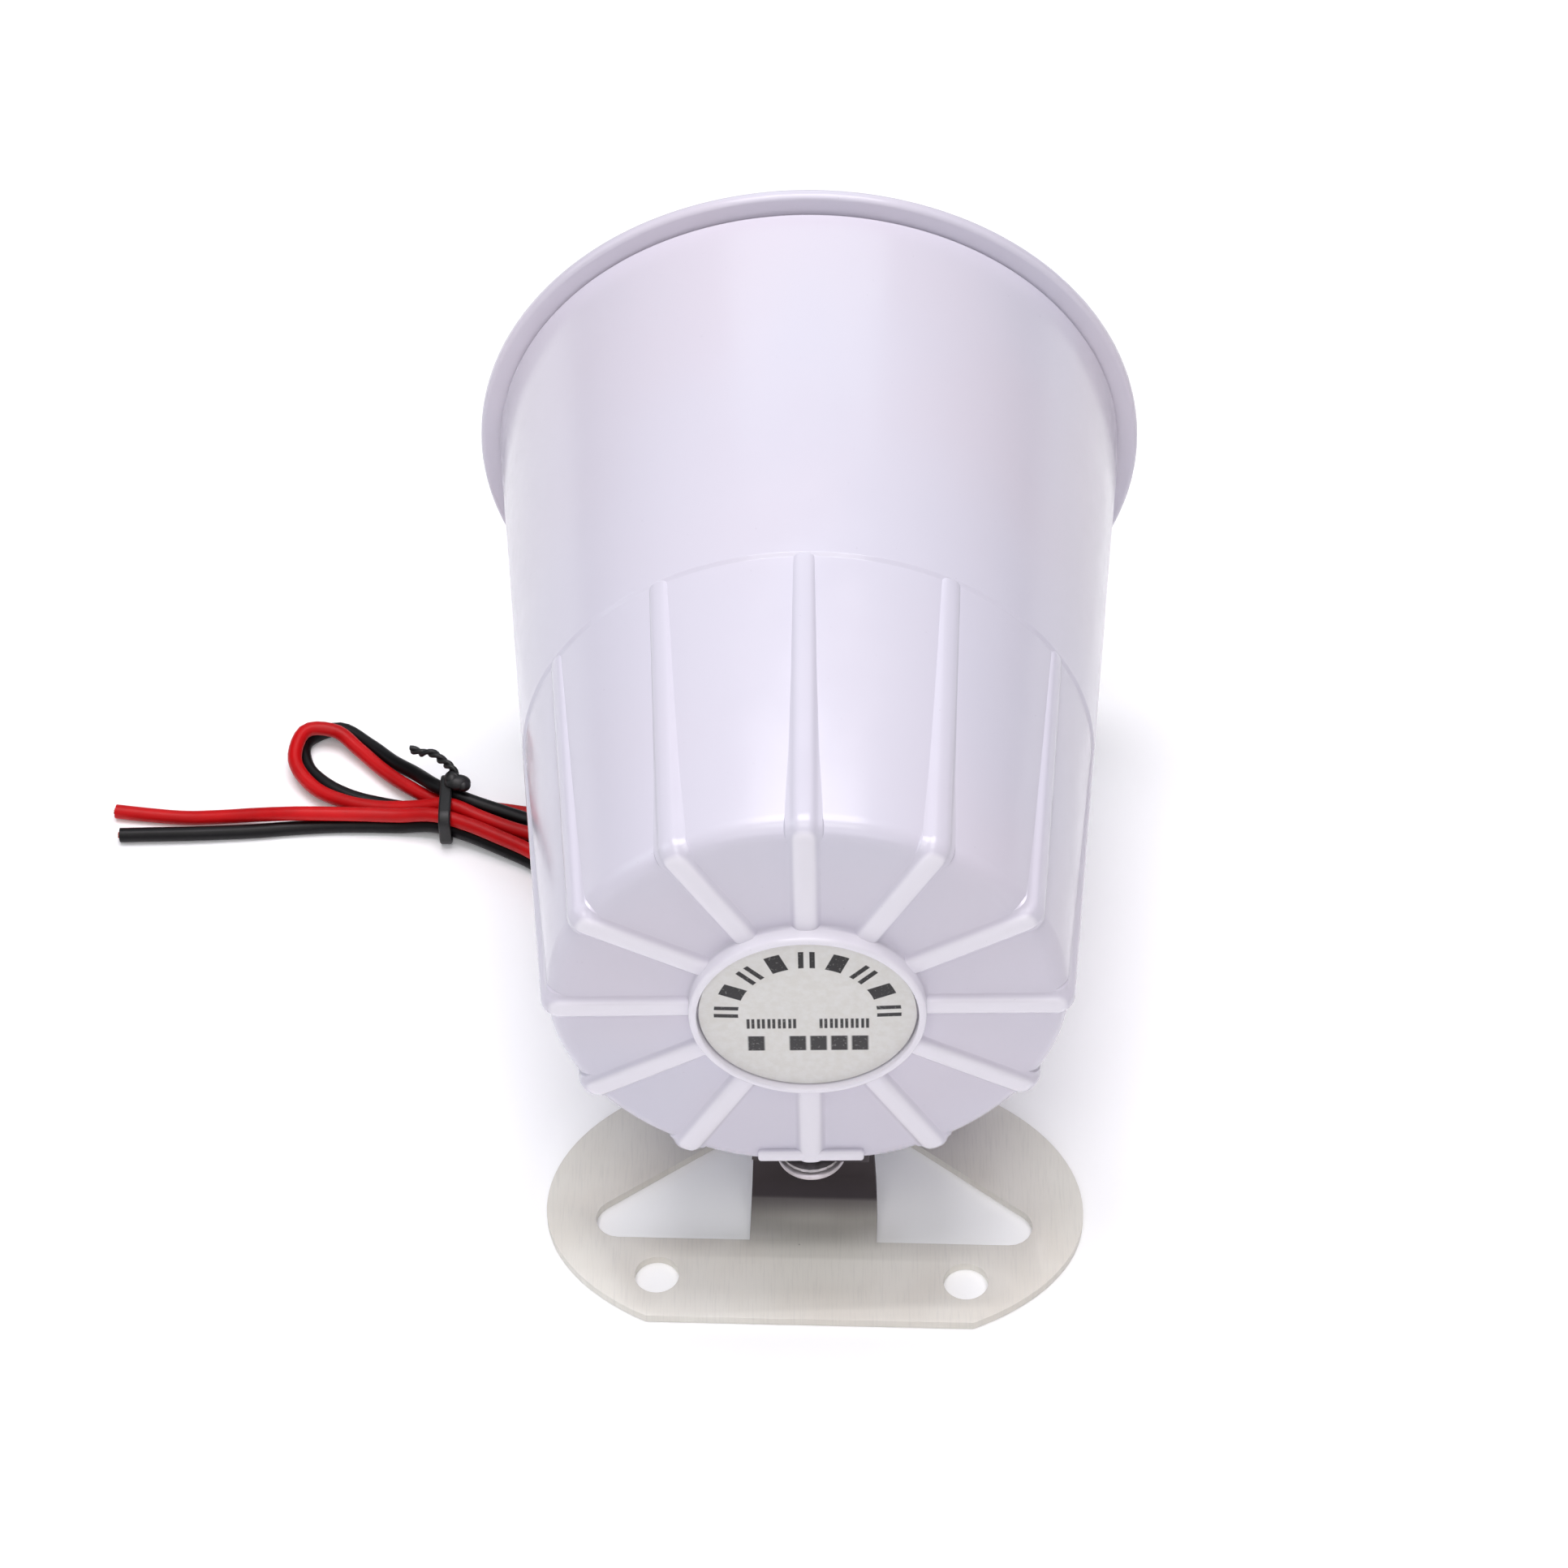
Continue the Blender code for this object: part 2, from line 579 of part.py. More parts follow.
def lead(turning):
    """Gland, the two wires with their bare ends, and the tie round the hank."""
    inner, outer = 2.75, 3.7
    skin = AXIS_HEIGHT - housing_radius(EXIT_Y)
    profile = (
        (inner, skin + WALL + 2.8),
        (4.9, skin + WALL + 2.8),
        (4.9, skin + WALL + 1.3),
        (outer, skin + WALL + 1.3),
        (outer, skin - 0.9),
        (5.2, skin - 0.9),
        (4.6, skin - 2.8),
        (inner, skin - 2.8),
    )
    gland = turned("lead_gland", profile, "black_rubber", turning, 24, closed=True)
    place(gland, y=BACK_Y + EXIT_Y - SWIVEL_Y)
    for name, side in (("red", 1), ("black", -1)):
        points = pair_points(LEAD_ROUTE, side, WIRE_STEP) - (0, SWIVEL_Y, 0)
        onward = points[-1] - points[-2]
        onward /= np.linalg.norm(onward)
        if name == "black":
            points[-1] -= onward * BLACK_SHORTER
        tube(f"{name}_wire", points, WIRE_RADIUS, f"{name}_pvc", turning)
        bare = [points[-1] + onward * GAP, points[-1] + onward * END_STRIP]
        tube(f"{name}_core", bare, CORE_RADIUS, "copper", turning, sides=1)


def cord_tie(turning):
    """Black tie round the three passes of the pair, with its twisted tail."""
    here = np.array(LEAD_ROUTE[TIE_POINT][:3]) - (0, SWIVEL_Y, 0)
    half_width, low, high = 5.0, 0.8, 6.6
    inside = rounded_box(half_width, (high - low) / 2, 1.5)
    outside = rounded_box(half_width + 0.7, (high - low) / 2 + 0.7, 2.1)
    band = flat("cord_tie", [outside, inside], 2.0, "black_nylon", turning)
    band.rotation_euler = (radians(90), 0, radians(90))
    place(band, here[0], here[1], (low + high) / 2)
    knot_at = here + (1.9, 2.6, high + 0.9 - here[2])
    knot = box("tie_knot", (4.4, 3.0, 2.6), None, turning, 0.7)
    place(knot, *knot_at)
    combine(band, knot, "UNION")
    tail = ((0, 0, 0.3), (-1.0, 2.2, 0.9), (-2.6, 4.2, 0.7))
    tail += ((-4.4, 5.6, 1.1), (-6.4, 6.2, 0.6), (-8.0, 7.2, 0.5))
    route = [knot_at + point for point in smooth(tail, 1.2)]
    wire = tube("tie_tail", route, 0.75, "black_nylon", turning, sides=1)
    combine(band, hidden(as_mesh(wire)), "UNION")


def hidden(obj):
    """Moves a piece in among the cutters."""
    parts.objects.unlink(obj)
    cutters.objects.link(obj)
    obj.hide_render = True
    obj.display_type = "WIRE"
    return obj


def rounded_box(half_width, half_height, radius):
    outline = []
    for i, (x, y) in enumerate(((1, 1), (-1, 1), (-1, -1), (1, -1))):
        corner = (x * (half_width - radius), y * (half_height - radius))
        outline += arc(*corner, radius, 90 * i, 90 * i + 90, 5)
    return outline


def foot_outline():
    """Oval plate with a straight front edge."""
    share = (FOOT_FRONT_Y - FOOT_CENTRE_Y) / FOOT_FRONT_AXIS
    start_angle = np.arcsin(share)
    outline = []
    for angle in np.linspace(start_angle, pi - start_angle, 44):
        deep = FOOT_FRONT_AXIS if sin(angle) < 0 else FOOT_REAR_AXIS
        outline.append((FOOT_HALF_WIDTH * cos(angle), FOOT_CENTRE_Y + deep * sin(angle)))
    return outline


def rounded_corners(corners, count=6):
    """A closed outline of straight sides with each corner, (x, y, radius), rounded."""
    outline = []
    for before, (x, y, radius), after in zip(corners[-1:] + corners[:-1], corners, corners[1:] + corners[:1]):
        here = Vector((x, y))
        back = (Vector(before[:2]) - here).normalized()
        on = (Vector(after[:2]) - here).normalized()
        half = back.angle(on) / 2
        middle = here + (back + on).normalized() * radius / sin(half)
        first = here + back * radius / np.tan(half) - middle
        last = here + on * radius / np.tan(half) - middle
        turn = first.angle_signed(last)
        for share in np.linspace(0, 1, count):
            outline.append(tuple(middle + Matrix.Rotation(-turn * share, 2) @ first))
    return outline


def bracket():
    """Foot plate, and the tongue stamped from its middle: up in an arm and back in a tab under the seat."""
    foot = bpy.data.objects.new("foot_turn", None)
    parts.objects.link(foot)
    place(foot, y=SWIVEL_Y)
    foot.rotation_euler = (0, 0, FOOT_TURN)
    bpy.context.view_layer.update()
    opening = rounded_corners([(40.5, ARM_BASE_Y, 3.6), (0, 38.2, 9.0), (-40.5, ARM_BASE_Y, 3.6)])
    holes = [circle(FOOT_HOLE_RADIUS, side * FOOT_HOLE_X, 0) for side in (-1, 1)]
    outlines = [[(x, y - SWIVEL_Y) for x, y in line] for line in (foot_outline(), opening, *holes)]
    plate = place(flat("bracket", outlines, SHEET, "foot_steel", foot), z=SHEET / 2)

    tab_under = AXIS_HEIGHT - SEAT_DROP - GAP - SHEET
    arm_y = ARM_BASE_Y + ARM_BEND
    facing = [(ARM_BASE_Y - 3, SHEET)]
    facing += arc(ARM_BASE_Y, SHEET + ARM_BEND, ARM_BEND, -90, 0, 8)
    facing += arc(arm_y - TAB_BEND, tab_under - TAB_BEND, TAB_BEND, 0, 90, 4)
    facing += [(TAB_END_Y, tab_under), (TAB_END_Y, tab_under + SHEET)]
    behind = arc(arm_y - TAB_BEND, tab_under - TAB_BEND, TAB_BEND + SHEET, 90, 0, 5)
    behind += arc(ARM_BASE_Y, SHEET + ARM_BEND, ARM_BEND + SHEET, 0, -90, 8)
    behind += [(ARM_BASE_Y - 3, 0)]
    side_view = [(y - SWIVEL_Y, z) for y, z in facing + behind]
    tongue = flat("tongue", [side_view], ARM_WIDTH, None, foot)
    taper = (ARM_WIDTH - ARM_TOP_WIDTH) / ARM_WIDTH / tab_under
    for vertex in tongue.data.vertices:
        vertex.co.z *= 1 - taper * max(0.0, vertex.co.y / MM - SHEET)
    tongue.rotation_euler = (radians(90), 0, radians(90))
    combine(plate, tongue, "UNION")
    bore = disc("tab_hole", SCREW_HOLE_RADIUS, tab_under - 5, tab_under + 5, None, foot, 20)
    combine(plate, bore, "DIFFERENCE")
    return foot, tab_under


def swivel_screw(foot, tab_under):
    """Pan-head screw from below with its washer."""
    washer_top = tab_under - GAP
    ring("swivel_washer", SCREW_HOLE_RADIUS, 4.8, washer_top - 0.6, washer_top, "zinc", foot, 24)
    under = washer_top - 0.6 - GAP
    tip = AXIS_HEIGHT - 27.0
    profile = [(0, tip), (SCREW_RADIUS, tip), (SCREW_RADIUS, under), (HEAD_RADIUS, under)]
    profile += arc(HEAD_RADIUS - 0.7, under - 0.7, 0.7, 0, -90, 4)
    profile += [(3.0, under - 2.1), (0, under - 2.4)]
    turned("swivel_screw", profile, "zinc", foot, 28)


def swivel_nut(turning):
    """Round threaded insert in the housing's seat, which takes the screw."""
    low = AXIS_HEIGHT - INSERT_DROP
    ring("swivel_nut", SCREW_HOLE_RADIUS, INSERT_RADIUS, low, low + INSERT_LENGTH, "brass", turning, 20)


def label(axis):
    disc("label_disc", LABEL_RADIUS, LABEL_FACE, LABEL_FACE + LABEL_THICKNESS, "label_paper", axis, 48)


def main():
    start()
    turning, axis = horn_frame()
    rear_housing(axis)
    label(axis)
    horn_bell(axis)
    throat(axis)
    reflector(axis)
    driver(axis)
    electronics(axis)
    swivel_nut(turning)
    lead(turning)
    cord_tie(turning)
    foot, tab_under = bracket()
    swivel_screw(foot, tab_under)


main()
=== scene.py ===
import json
from math import asin, cos, pi, radians, sin, tau

import bpy
import numpy as np
from mathutils import Matrix, Vector

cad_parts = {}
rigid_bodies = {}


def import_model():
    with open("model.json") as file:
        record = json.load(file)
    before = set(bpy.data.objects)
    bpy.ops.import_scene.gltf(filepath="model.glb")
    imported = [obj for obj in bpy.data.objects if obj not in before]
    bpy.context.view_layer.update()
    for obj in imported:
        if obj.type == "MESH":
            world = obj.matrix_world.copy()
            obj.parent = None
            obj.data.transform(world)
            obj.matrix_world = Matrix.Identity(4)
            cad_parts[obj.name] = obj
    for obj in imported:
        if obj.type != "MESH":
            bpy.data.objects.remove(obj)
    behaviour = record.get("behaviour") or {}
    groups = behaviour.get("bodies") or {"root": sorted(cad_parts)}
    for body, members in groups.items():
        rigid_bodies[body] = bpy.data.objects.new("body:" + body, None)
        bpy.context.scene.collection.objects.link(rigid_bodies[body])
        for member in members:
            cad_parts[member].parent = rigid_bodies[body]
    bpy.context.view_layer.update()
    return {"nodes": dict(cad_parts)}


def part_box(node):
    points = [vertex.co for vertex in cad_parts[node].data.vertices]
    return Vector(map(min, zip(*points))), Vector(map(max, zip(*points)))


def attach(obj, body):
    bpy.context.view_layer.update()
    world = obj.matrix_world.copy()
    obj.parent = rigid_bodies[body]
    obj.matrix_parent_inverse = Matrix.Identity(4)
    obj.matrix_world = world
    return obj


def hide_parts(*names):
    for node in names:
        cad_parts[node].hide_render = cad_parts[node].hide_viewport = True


mm = 0.001

for thing in list(bpy.data.objects):
    bpy.data.objects.remove(thing)
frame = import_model()
print("frame loaded:", len(frame["nodes"]), "nodes")


# camera and cords come first
cameraSet = {
    "target": (-0.00402, 0.0636, 0.04343),
    "distance": 0.7616,
    "elevation": 46.86,
    "azimuth": 1.4237,   # degrees to the right of straight behind
    "roll": -1.5309,
    "lens": 113.14,
}


def makeCamera(s):
    camera = bpy.data.objects.new("shotCamera", bpy.data.cameras.new("shotCamera"))
    bpy.context.scene.collection.objects.link(camera)
    e, a = radians(s["elevation"]), radians(s["azimuth"])
    back = Vector((sin(a) * cos(e), -cos(a) * cos(e), sin(e)))
    camera.rotation_mode = "QUATERNION"
    camera.location = Vector(s["target"]) + back * s["distance"]
    aim = (-back).to_track_quat("-Z", "Y").to_matrix()
    camera.rotation_quaternion = (aim @ Matrix.Rotation(radians(s["roll"]), 3, "Z")).to_quaternion()
    camera.data.lens = s["lens"]
    camera.data.clip_start, camera.data.clip_end = 0.01, 10
    bpy.context.scene.camera = camera


makeCamera(cameraSet)

leadSet = {
    "radius": 1.2 * mm,
    "pair": 1.3,         # half the spacing of the two wires, mm
    "step": 1.2,         # between points of a wire, mm
    "cadStep": 6.0,      # between points of its solid, mm
    "bare": 0.3,         # how far the copper stands out of its sleeve, mm
    "strandLength": 1.5,
    "strand": 0.155,     # radius of a strand, mm
    "strandRing": 0.33,  # of the six strands about the middle one, mm
    "shorter": {"red": 0.0, "black": 1.5},   # cut back, mm
    # middle of the pair in mm, turn of the red wire about it in degrees,
    # and half the spacing where it isn't the usual
    "route": (
        (0.0, 69.0, 27.6, 180), (0.0, 73.0, 28.2, 180), (0.0, 76.2, 25.6, 180),
        (0.0, 77.5, 20.0, 180), (0.0, 77.8, 13.0, 180), (-0.8, 78.8, 7.0, 180),
        (-4.0, 81.4, 3.0, 180), (-10.0, 84.8, 1.5, 180), (-18.0, 88.2, 1.3, 180),
        (-28.0, 91.2, 1.3, 180), (-38.0, 93.0, 1.5, 184), (-48.0, 95.4, 2.4, 210),
        (-60.3, 98.3, 3.7, 270), (-66.6, 103.0, 2.9, 335), (-72.2, 108.4, 1.9, 368),
        (-77.2, 113.4, 2.1, 386), (-81.4, 115.7, 2.5, 407), (-85.2, 113.8, 2.6, 450),
        (-86.0, 109.0, 2.3, 490), (-83.6, 104.4, 1.9, 515), (-79.2, 100.9, 1.8, 515),
        (-73.6, 98.7, 1.9, 508), (-67.4, 97.3, 2.3, 492), (-60.6, 95.7, 3.7, 450),
        (-54.0, 92.8, 3.1, 450), (-47.0, 90.0, 2.6, 450), (-39.0, 87.8, 2.5, 450),
        (-31.0, 85.4, 2.5, 450), (-25.4, 80.8, 2.5, 450), (-26.4, 74.8, 2.5, 450),
        (-33.0, 72.6, 2.5, 450), (-38.6, 77.6, 2.5, 450), (-42.8, 83.2, 2.6, 450),
        (-49.4, 87.6, 3.0, 450), (-60.8, 92.9, 3.7, 450), (-68.6, 94.2, 2.7, 450),
        (-77.0, 94.7, 2.5, 455), (-85.0, 94.8, 2.3, 470), (-94.0, 94.8, 1.7, 515, 1.4),
        (-104.0, 94.8, 1.25, 540, 1.8), (-116.0, 95.5, 1.25, 540, 2.7),
    ),
    "tiePoint": 23,      # the row under the tie
}


def smoothRoute(rows, step):
    # a smooth line through the rows, with points a step apart
    rows = np.array(rows, float)
    rows = np.vstack([2 * rows[0] - rows[1], rows, 2 * rows[-1] - rows[-2]])
    fine = []
    for p0, p1, p2, p3 in zip(rows, rows[1:], rows[2:], rows[3:]):
        for t in np.linspace(0, 1, 20, endpoint=False):
            bend, swing = 2 * p0 - 5 * p1 + 4 * p2 - p3, 3 * p1 - p0 - 3 * p2 + p3
            fine.append((2 * p1 + (p2 - p0) * t + bend * t**2 + swing * t**3) / 2)
    fine = np.array(fine + [rows[-2]])
    run = np.concatenate([[0], np.cumsum(np.linalg.norm(np.diff(fine[:, :3], axis=0), axis=1))])
    stops = np.linspace(0, run[-1], max(2, round(run[-1] / step)) + 1)
    return np.stack([np.interp(stops, run, column) for column in fine.T], axis=1)


def wirePoints(s, side, shorter):
    # the solid's own points, then a smooth line through them, so the wire lies where its solid does
    rows = [row if len(row) == 5 else (*row, s["pair"]) for row in s["route"]]
    rows = smoothRoute(rows, s["cadStep"])
    middle, turn, spacing = rows[:, :3], np.radians(rows[:, 3]), rows[:, 4]
    heading = np.gradient(middle, axis=0)
    heading[:, 2] = 0
    heading /= np.linalg.norm(heading, axis=1)[:, None]
    left = np.stack([-heading[:, 1], heading[:, 0], np.zeros(len(rows))], axis=1)
    away = left * np.cos(turn)[:, None] + np.array([0, 0, 1.0]) * np.sin(turn)[:, None]
    line = middle + side * spacing[:, None] * away
    line[-1] -= (line[-1] - line[-2]) / np.linalg.norm(line[-1] - line[-2]) * shorter
    return smoothRoute(line, s["step"]) * mm


def tubeCurve(name, points, radius, sides=5):
    data = bpy.data.curves.new(name, "CURVE")
    data.dimensions = "3D"
    data.bevel_depth, data.bevel_resolution = radius, sides
    data.use_fill_caps = True
    spline = data.splines.new("POLY")
    spline.points.add(len(points) - 1)
    for point, place in zip(spline.points, points):
        point.co = (*place, 1)
    piece = bpy.data.objects.new(name, data)
    bpy.context.scene.collection.objects.link(piece)
    return piece


# a node's output that can be used in a sum
class Link:
    def __init__(self, look, socket):
        self.look, self.socket = look, socket

    def math(self, operation, *others):
        return self.look.node("Math", {"operation": operation}, dict(enumerate((self, *others))))

    def __add__(self, other):
        return self.math("ADD", other)

    def __sub__(self, other):
        return self.math("SUBTRACT", other)

    def __rsub__(self, other):
        return self.look.node("Math", {"operation": "SUBTRACT"}, {0: other, 1: self})

    def __mul__(self, other):
        return self.math("MULTIPLY", other)

    def __truediv__(self, other):
        return self.math("DIVIDE", other)

    def __pow__(self, other):
        return self.math("POWER", other)

    __radd__ = __add__
    __rmul__ = __mul__


# one finish: a material and the nodes that make it
class Look:
    def __init__(self, name, **fixed):
        self.material = bpy.data.materials.new(name)
        self.material.use_nodes = True
        self.tree = self.material.node_tree
        self.shader = self.tree.nodes["Principled BSDF"]
        for key, value in fixed.items():
            self.shader.inputs[key.replace("_", " ")].default_value = value

    def node(self, kind, settings=None, values=None, output=0):
        made = self.tree.nodes.new("ShaderNode" + kind)
        for key, value in (settings or {}).items():
            setattr(made, key, value)
        for key, value in (values or {}).items():
            self.feed(made.inputs[key], value)
        return Link(self, made.outputs[output])

    def feed(self, socket, value):
        if isinstance(value, Link):
            self.tree.links.new(value.socket, socket)
        else:
            socket.default_value = value

    def place(self, centre=(0, 0, 0), scale=(1, 1, 1)):
        values = {"Vector": self.node("TexCoord", output="Object"), "Location": centre, "Scale": scale}
        return self.node("Mapping", {"vector_type": "TEXTURE"}, values)

    def parts(self, vector):
        split = self.node("SeparateXYZ", values={0: vector})
        return [Link(self, output) for output in split.socket.node.outputs]

    def noise(self, vector, scale, detail):
        values = {"Vector": vector, "Scale": scale, "Detail": detail, "Roughness": 0.55}
        return self.node("TexNoise", None, values)

    def blend(self, share, first, second):
        mix = self.node("Mix", {"data_type": "RGBA"}, {"Factor": share})
        inputs = [i for i in mix.socket.node.inputs if i.type == "RGBA"]
        self.feed(inputs[0], first)
        self.feed(inputs[1], second)
        return Link(self, [o for o in mix.socket.node.outputs if o.type == "RGBA"][0])

    def between(self, value, low, high, start=0.0, end=1.0):
        # start up to low, end from high, and a soft step from one to the other
        values = {"Value": value, "From Min": low, "From Max": high, "To Min": start, "To Max": end}
        return self.node("MapRange", {"interpolation_type": "SMOOTHSTEP"}, values)

    def bump(self, height, distance, normal=None):
        values = {"Height": height, "Strength": 1.0, "Distance": distance}
        if normal:
            values["Normal"] = normal
        return self.node("Bump", None, values)

    def set(self, **links):
        for key, value in links.items():
            self.feed(self.shader.inputs[key.replace("_", " ")], value)
        return self.material


def srgb(red, green, blue):
    shares = (red / 255, green / 255, blue / 255)
    return tuple(c / 12.92 if c <= 0.04045 else ((c + 0.055) / 1.055) ** 2.4 for c in shares) + (1.0,)


# finishes
plasticSet = {
    "white": srgb(210, 207, 220),
    "blush": srgb(211, 205, 217),
    "cool": srgb(206, 205, 219),
    # paler colour of the painted highlight on the raised ribs and ring
    "ribHighlight": srgb(238, 235, 243),
    "ribHighlightShare": 0.85,          # how strongly raised parts turn to the painted highlight colour
    "rough": 0.17,
    "roughSpread": 0.1,
    "fleck": srgb(176, 170, 182),
    "peel": 0.006 * mm,      # depth of the slow waves a moulding leaves
    "grain": 0.0012 * mm,
}


def mouldedPlastic(name, s, flowAlong=(1, 1, 1), backFace=None):
    look = Look(name, IOR=1.5, Specular_IOR_Level=0.5)
    here = look.place()
    broad = look.noise(here, 14, 2)
    patches = look.noise(look.place(centre=(0.13, 0.2, 0.4), scale=flowAlong), 30, 3)
    colour = look.blend(look.between(broad, 0.35, 0.7), s["white"], s["blush"])
    colour = look.blend(look.between(patches, 0.45, 0.75, 0, 0.6), colour, s["cool"])
    if backFace is not None:
        # ribs and ring stand proud of the panels and get a painted highlight in a paler colour
        _, along, _ = look.parts(here)
        proud = look.between(along, backFace + 0.75 * mm, backFace + 0.2 * mm)
        colour = look.blend(proud * s["ribHighlightShare"], colour, s["ribHighlight"])
    fleck = look.between(look.noise(here, 1900, 1), 0.79, 0.83)
    colour = look.blend(fleck * 0.35, colour, s["fleck"])
    haze = look.noise(here, 120, 4)
    peel = look.noise(here, 260, 2)
    grain = look.noise(here, 2600, 2)
    waves = look.bump(peel, s["peel"])
    rough = s["rough"] + s["roughSpread"] * look.between(haze, 0.35, 0.75)
    return look.set(Base_Color=colour, Roughness=rough, Normal=look.bump(grain, s["grain"], waves))


labelSet = {
    "paper": srgb(224, 223, 220),
    "paperWarm": srgb(218, 216, 211),
    "ink": srgb(24, 21, 24),
    "marks": 9,                  # in the arch
    "pitch": 21.9,               # between them, degrees
    "markRing": (10.0, 13.5),    # mm from the middle
    "markHalf": 1.2,
    "gap": 0.42,                 # half the gap between a pair of bars, mm
    "edge": 0.06,                # half the softness of a mark's edge
    "upper": (-3.2, -1.1),       # heights of the two rows, mm
    "upperPitch": 1.5,           # from one mark of the row to the next, mm
    "lower": (-8.1, -4.9),
    "lowerPitch": 3.0,
    "rowHalf": 9.0,              # half the length of a row, mm
}


def printedLabel(name, s, centre):
    # bars and tiles in an arch, above a row of fine bars and a row of tiles, in ink on satin paper
    look = Look(name, IOR=1.46)
    x, _, z = look.parts(look.place(centre=centre, scale=(mm, mm, mm)))
    e = s["edge"]

    def band(value, low, high):
        return look.between(value, low - e, low + e) * (1 - look.between(value, high - e, high + e))

    inner, outer = s["markRing"]
    reach = (x * x + z * z) ** 0.5
    step = x.math("ARCTAN2", z) / radians(s["pitch"]) + s["marks"] / 2
    across = (step.math("FRACT") - 0.5) * reach * radians(s["pitch"])
    odd = step.math("FLOOR").math("MODULO", 2.0)
    inMark = band(across, -s["markHalf"], s["markHalf"]) * band(reach, inner, outer)
    inMark = inMark * band(step, 0.0, float(s["marks"]))
    bars = 1 - band(across, -s["gap"], s["gap"])
    arch = inMark * (odd + (1 - odd) * bars)
    column = ((x + s["rowHalf"]) / s["upperPitch"]).math("FRACT")
    upper = band(column, 0.12, 0.88) * (1 - band(column, 0.42, 0.58)) * band(z, *s["upper"])
    upper = upper * band(x.math("ABSOLUTE"), s["upperPitch"], s["rowHalf"])
    column = ((x + s["rowHalf"]) / s["lowerPitch"]).math("FRACT")
    lower = band(column, 0.1, 0.9) * band(z, *s["lower"]) * band(x, -s["rowHalf"], s["rowHalf"])
    lower = lower * (1 - band(x, s["lowerPitch"] - s["rowHalf"], 2 * s["lowerPitch"] - s["rowHalf"]))
    ink = (arch + upper + lower).math("MINIMUM", 1.0)
    fibre = look.noise(look.place(), 900, 4)
    paper = look.blend(look.between(fibre, 0.3, 0.7), s["paper"], s["paperWarm"])
    wear = look.between(look.noise(look.place(), 2200, 2), 0.3, 0.42, 0.85, 1.0)
    colour = look.blend(ink * wear, paper, s["ink"])
    rough = 0.42 - 0.12 * ink + 0.06 * fibre
    height = look.bump(fibre + 0.8 * ink, 0.006 * mm)
    return look.set(Base_Color=colour, Roughness=rough, Normal=height)


steelSet = {
    "face": srgb(234, 231, 223),
    "warm": srgb(226, 221, 212),
    "streak": srgb(206, 203, 198),
    # colour of the painted shade on the tongue and arm
    "arm": srgb(60, 52, 56),
    "speck": srgb(60, 52, 50),
    "rough": 0.36,
    # where the painted shade starts and ends, mm: along the tongue, up the bend, past the arm and beside it
    "along": (4.5, 14.5), "height": (2.5, 5.0), "past": (32.0, 30.0), "beside": (11.5, 9.5),
}


def platedSteel(name, s):
    # brushed plate with painted shade along the tongue and up the arm
    look = Look(name, IOR=1.5)
    here = look.place()
    side, along, height = look.parts(look.place(scale=(mm, mm, mm)))
    streaks = look.noise(look.place(scale=(0.02, 0.35, 1)), 60, 4)
    clouds = look.noise(here, 45, 3)
    colour = look.blend(look.between(clouds, 0.35, 0.7), s["face"], s["warm"])
    colour = look.blend(look.between(streaks, 0.45, 0.75, 0, 0.3), colour, s["streak"])
    speck = look.between(look.noise(here, 420, 1), 0.80, 0.83)
    colour = look.blend(speck * 0.85, colour, s["speck"])
    # painted shade: darker along the tongue and up the arm, where the horn shades it
    tongue = look.between(along, *s["along"], 0, 0.95) * look.between(along, *s["past"])
    tongue = tongue * look.between(side.math("ABSOLUTE"), *s["beside"])
    paintedArmShade = tongue.math("MAXIMUM", look.between(height, *s["height"]))
    colour = look.blend(paintedArmShade, colour, s["arm"])
    grain = look.noise(here, 1500, 3)
    rough = s["rough"] + 0.12 * look.between(clouds, 0.3, 0.7) + 0.1 * paintedArmShade
    normal = look.bump(grain + 0.7 * streaks, 0.004 * mm)
    return look.set(Base_Color=colour, Metallic=0.12 + 0.2 * paintedArmShade, Roughness=rough, Normal=normal)


def platedScrew(name, tone, centre):
    # turning marks run round the head
    look = Look(name, IOR=1.5)
    x, y, _ = look.parts(look.place(centre=centre))
    reach = (x * x + y * y) ** 0.5
    rings = look.noise(look.node("CombineXYZ", None, {0: reach * 1200.0, 1: 0.0, 2: 0.0}), 3, 2)
    clouds = look.noise(look.place(), 500, 3)
    deep = tuple(c * 0.82 for c in tone[:3]) + (1,)
    colour = look.blend(look.between(clouds, 0.3, 0.7), tone, deep)
    marks = look.bump(rings, 0.003 * mm)
    look.set(Metallic=0.55 + 0.2 * clouds, Roughness=0.26 + 0.14 * rings)
    return look.set(Base_Color=colour, Normal=marks)


def wireCoat(name, tone, deep):
    # soft glossy sleeve with a trace of dust
    look = Look(name, IOR=1.5, Specular_IOR_Level=0.22)
    here = look.place()
    slow = look.noise(here, 90, 3)
    fine = look.noise(here, 2400, 3)
    ripple = look.noise(here, 500, 2)
    colour = look.blend(look.between(slow, 0.3, 0.7), tone, deep)
    dust = look.between(look.noise(here, 1300, 4), 0.68, 0.82, 0, 0.06)
    colour = look.blend(dust, colour, srgb(170, 160, 160))
    skin = look.bump(fine * 0.5 + ripple, 0.012 * mm)
    return look.set(Base_Color=colour, Roughness=0.33 + 0.14 * slow, Normal=skin)


def metalLook(name, tone, second, metallic, rough, scale=300, depth=0.01 * mm, stretch=(1, 1, 1)):
    look = Look(name, IOR=1.5)
    patches = look.noise(look.place(scale=stretch), scale, 4)
    colour = look.blend(look.between(patches, 0.3, 0.7), tone, second)
    look.set(Metallic=metallic + 0.04 * patches, Roughness=rough + 0.15 * patches)
    return look.set(Base_Color=colour, Normal=look.bump(patches, depth))


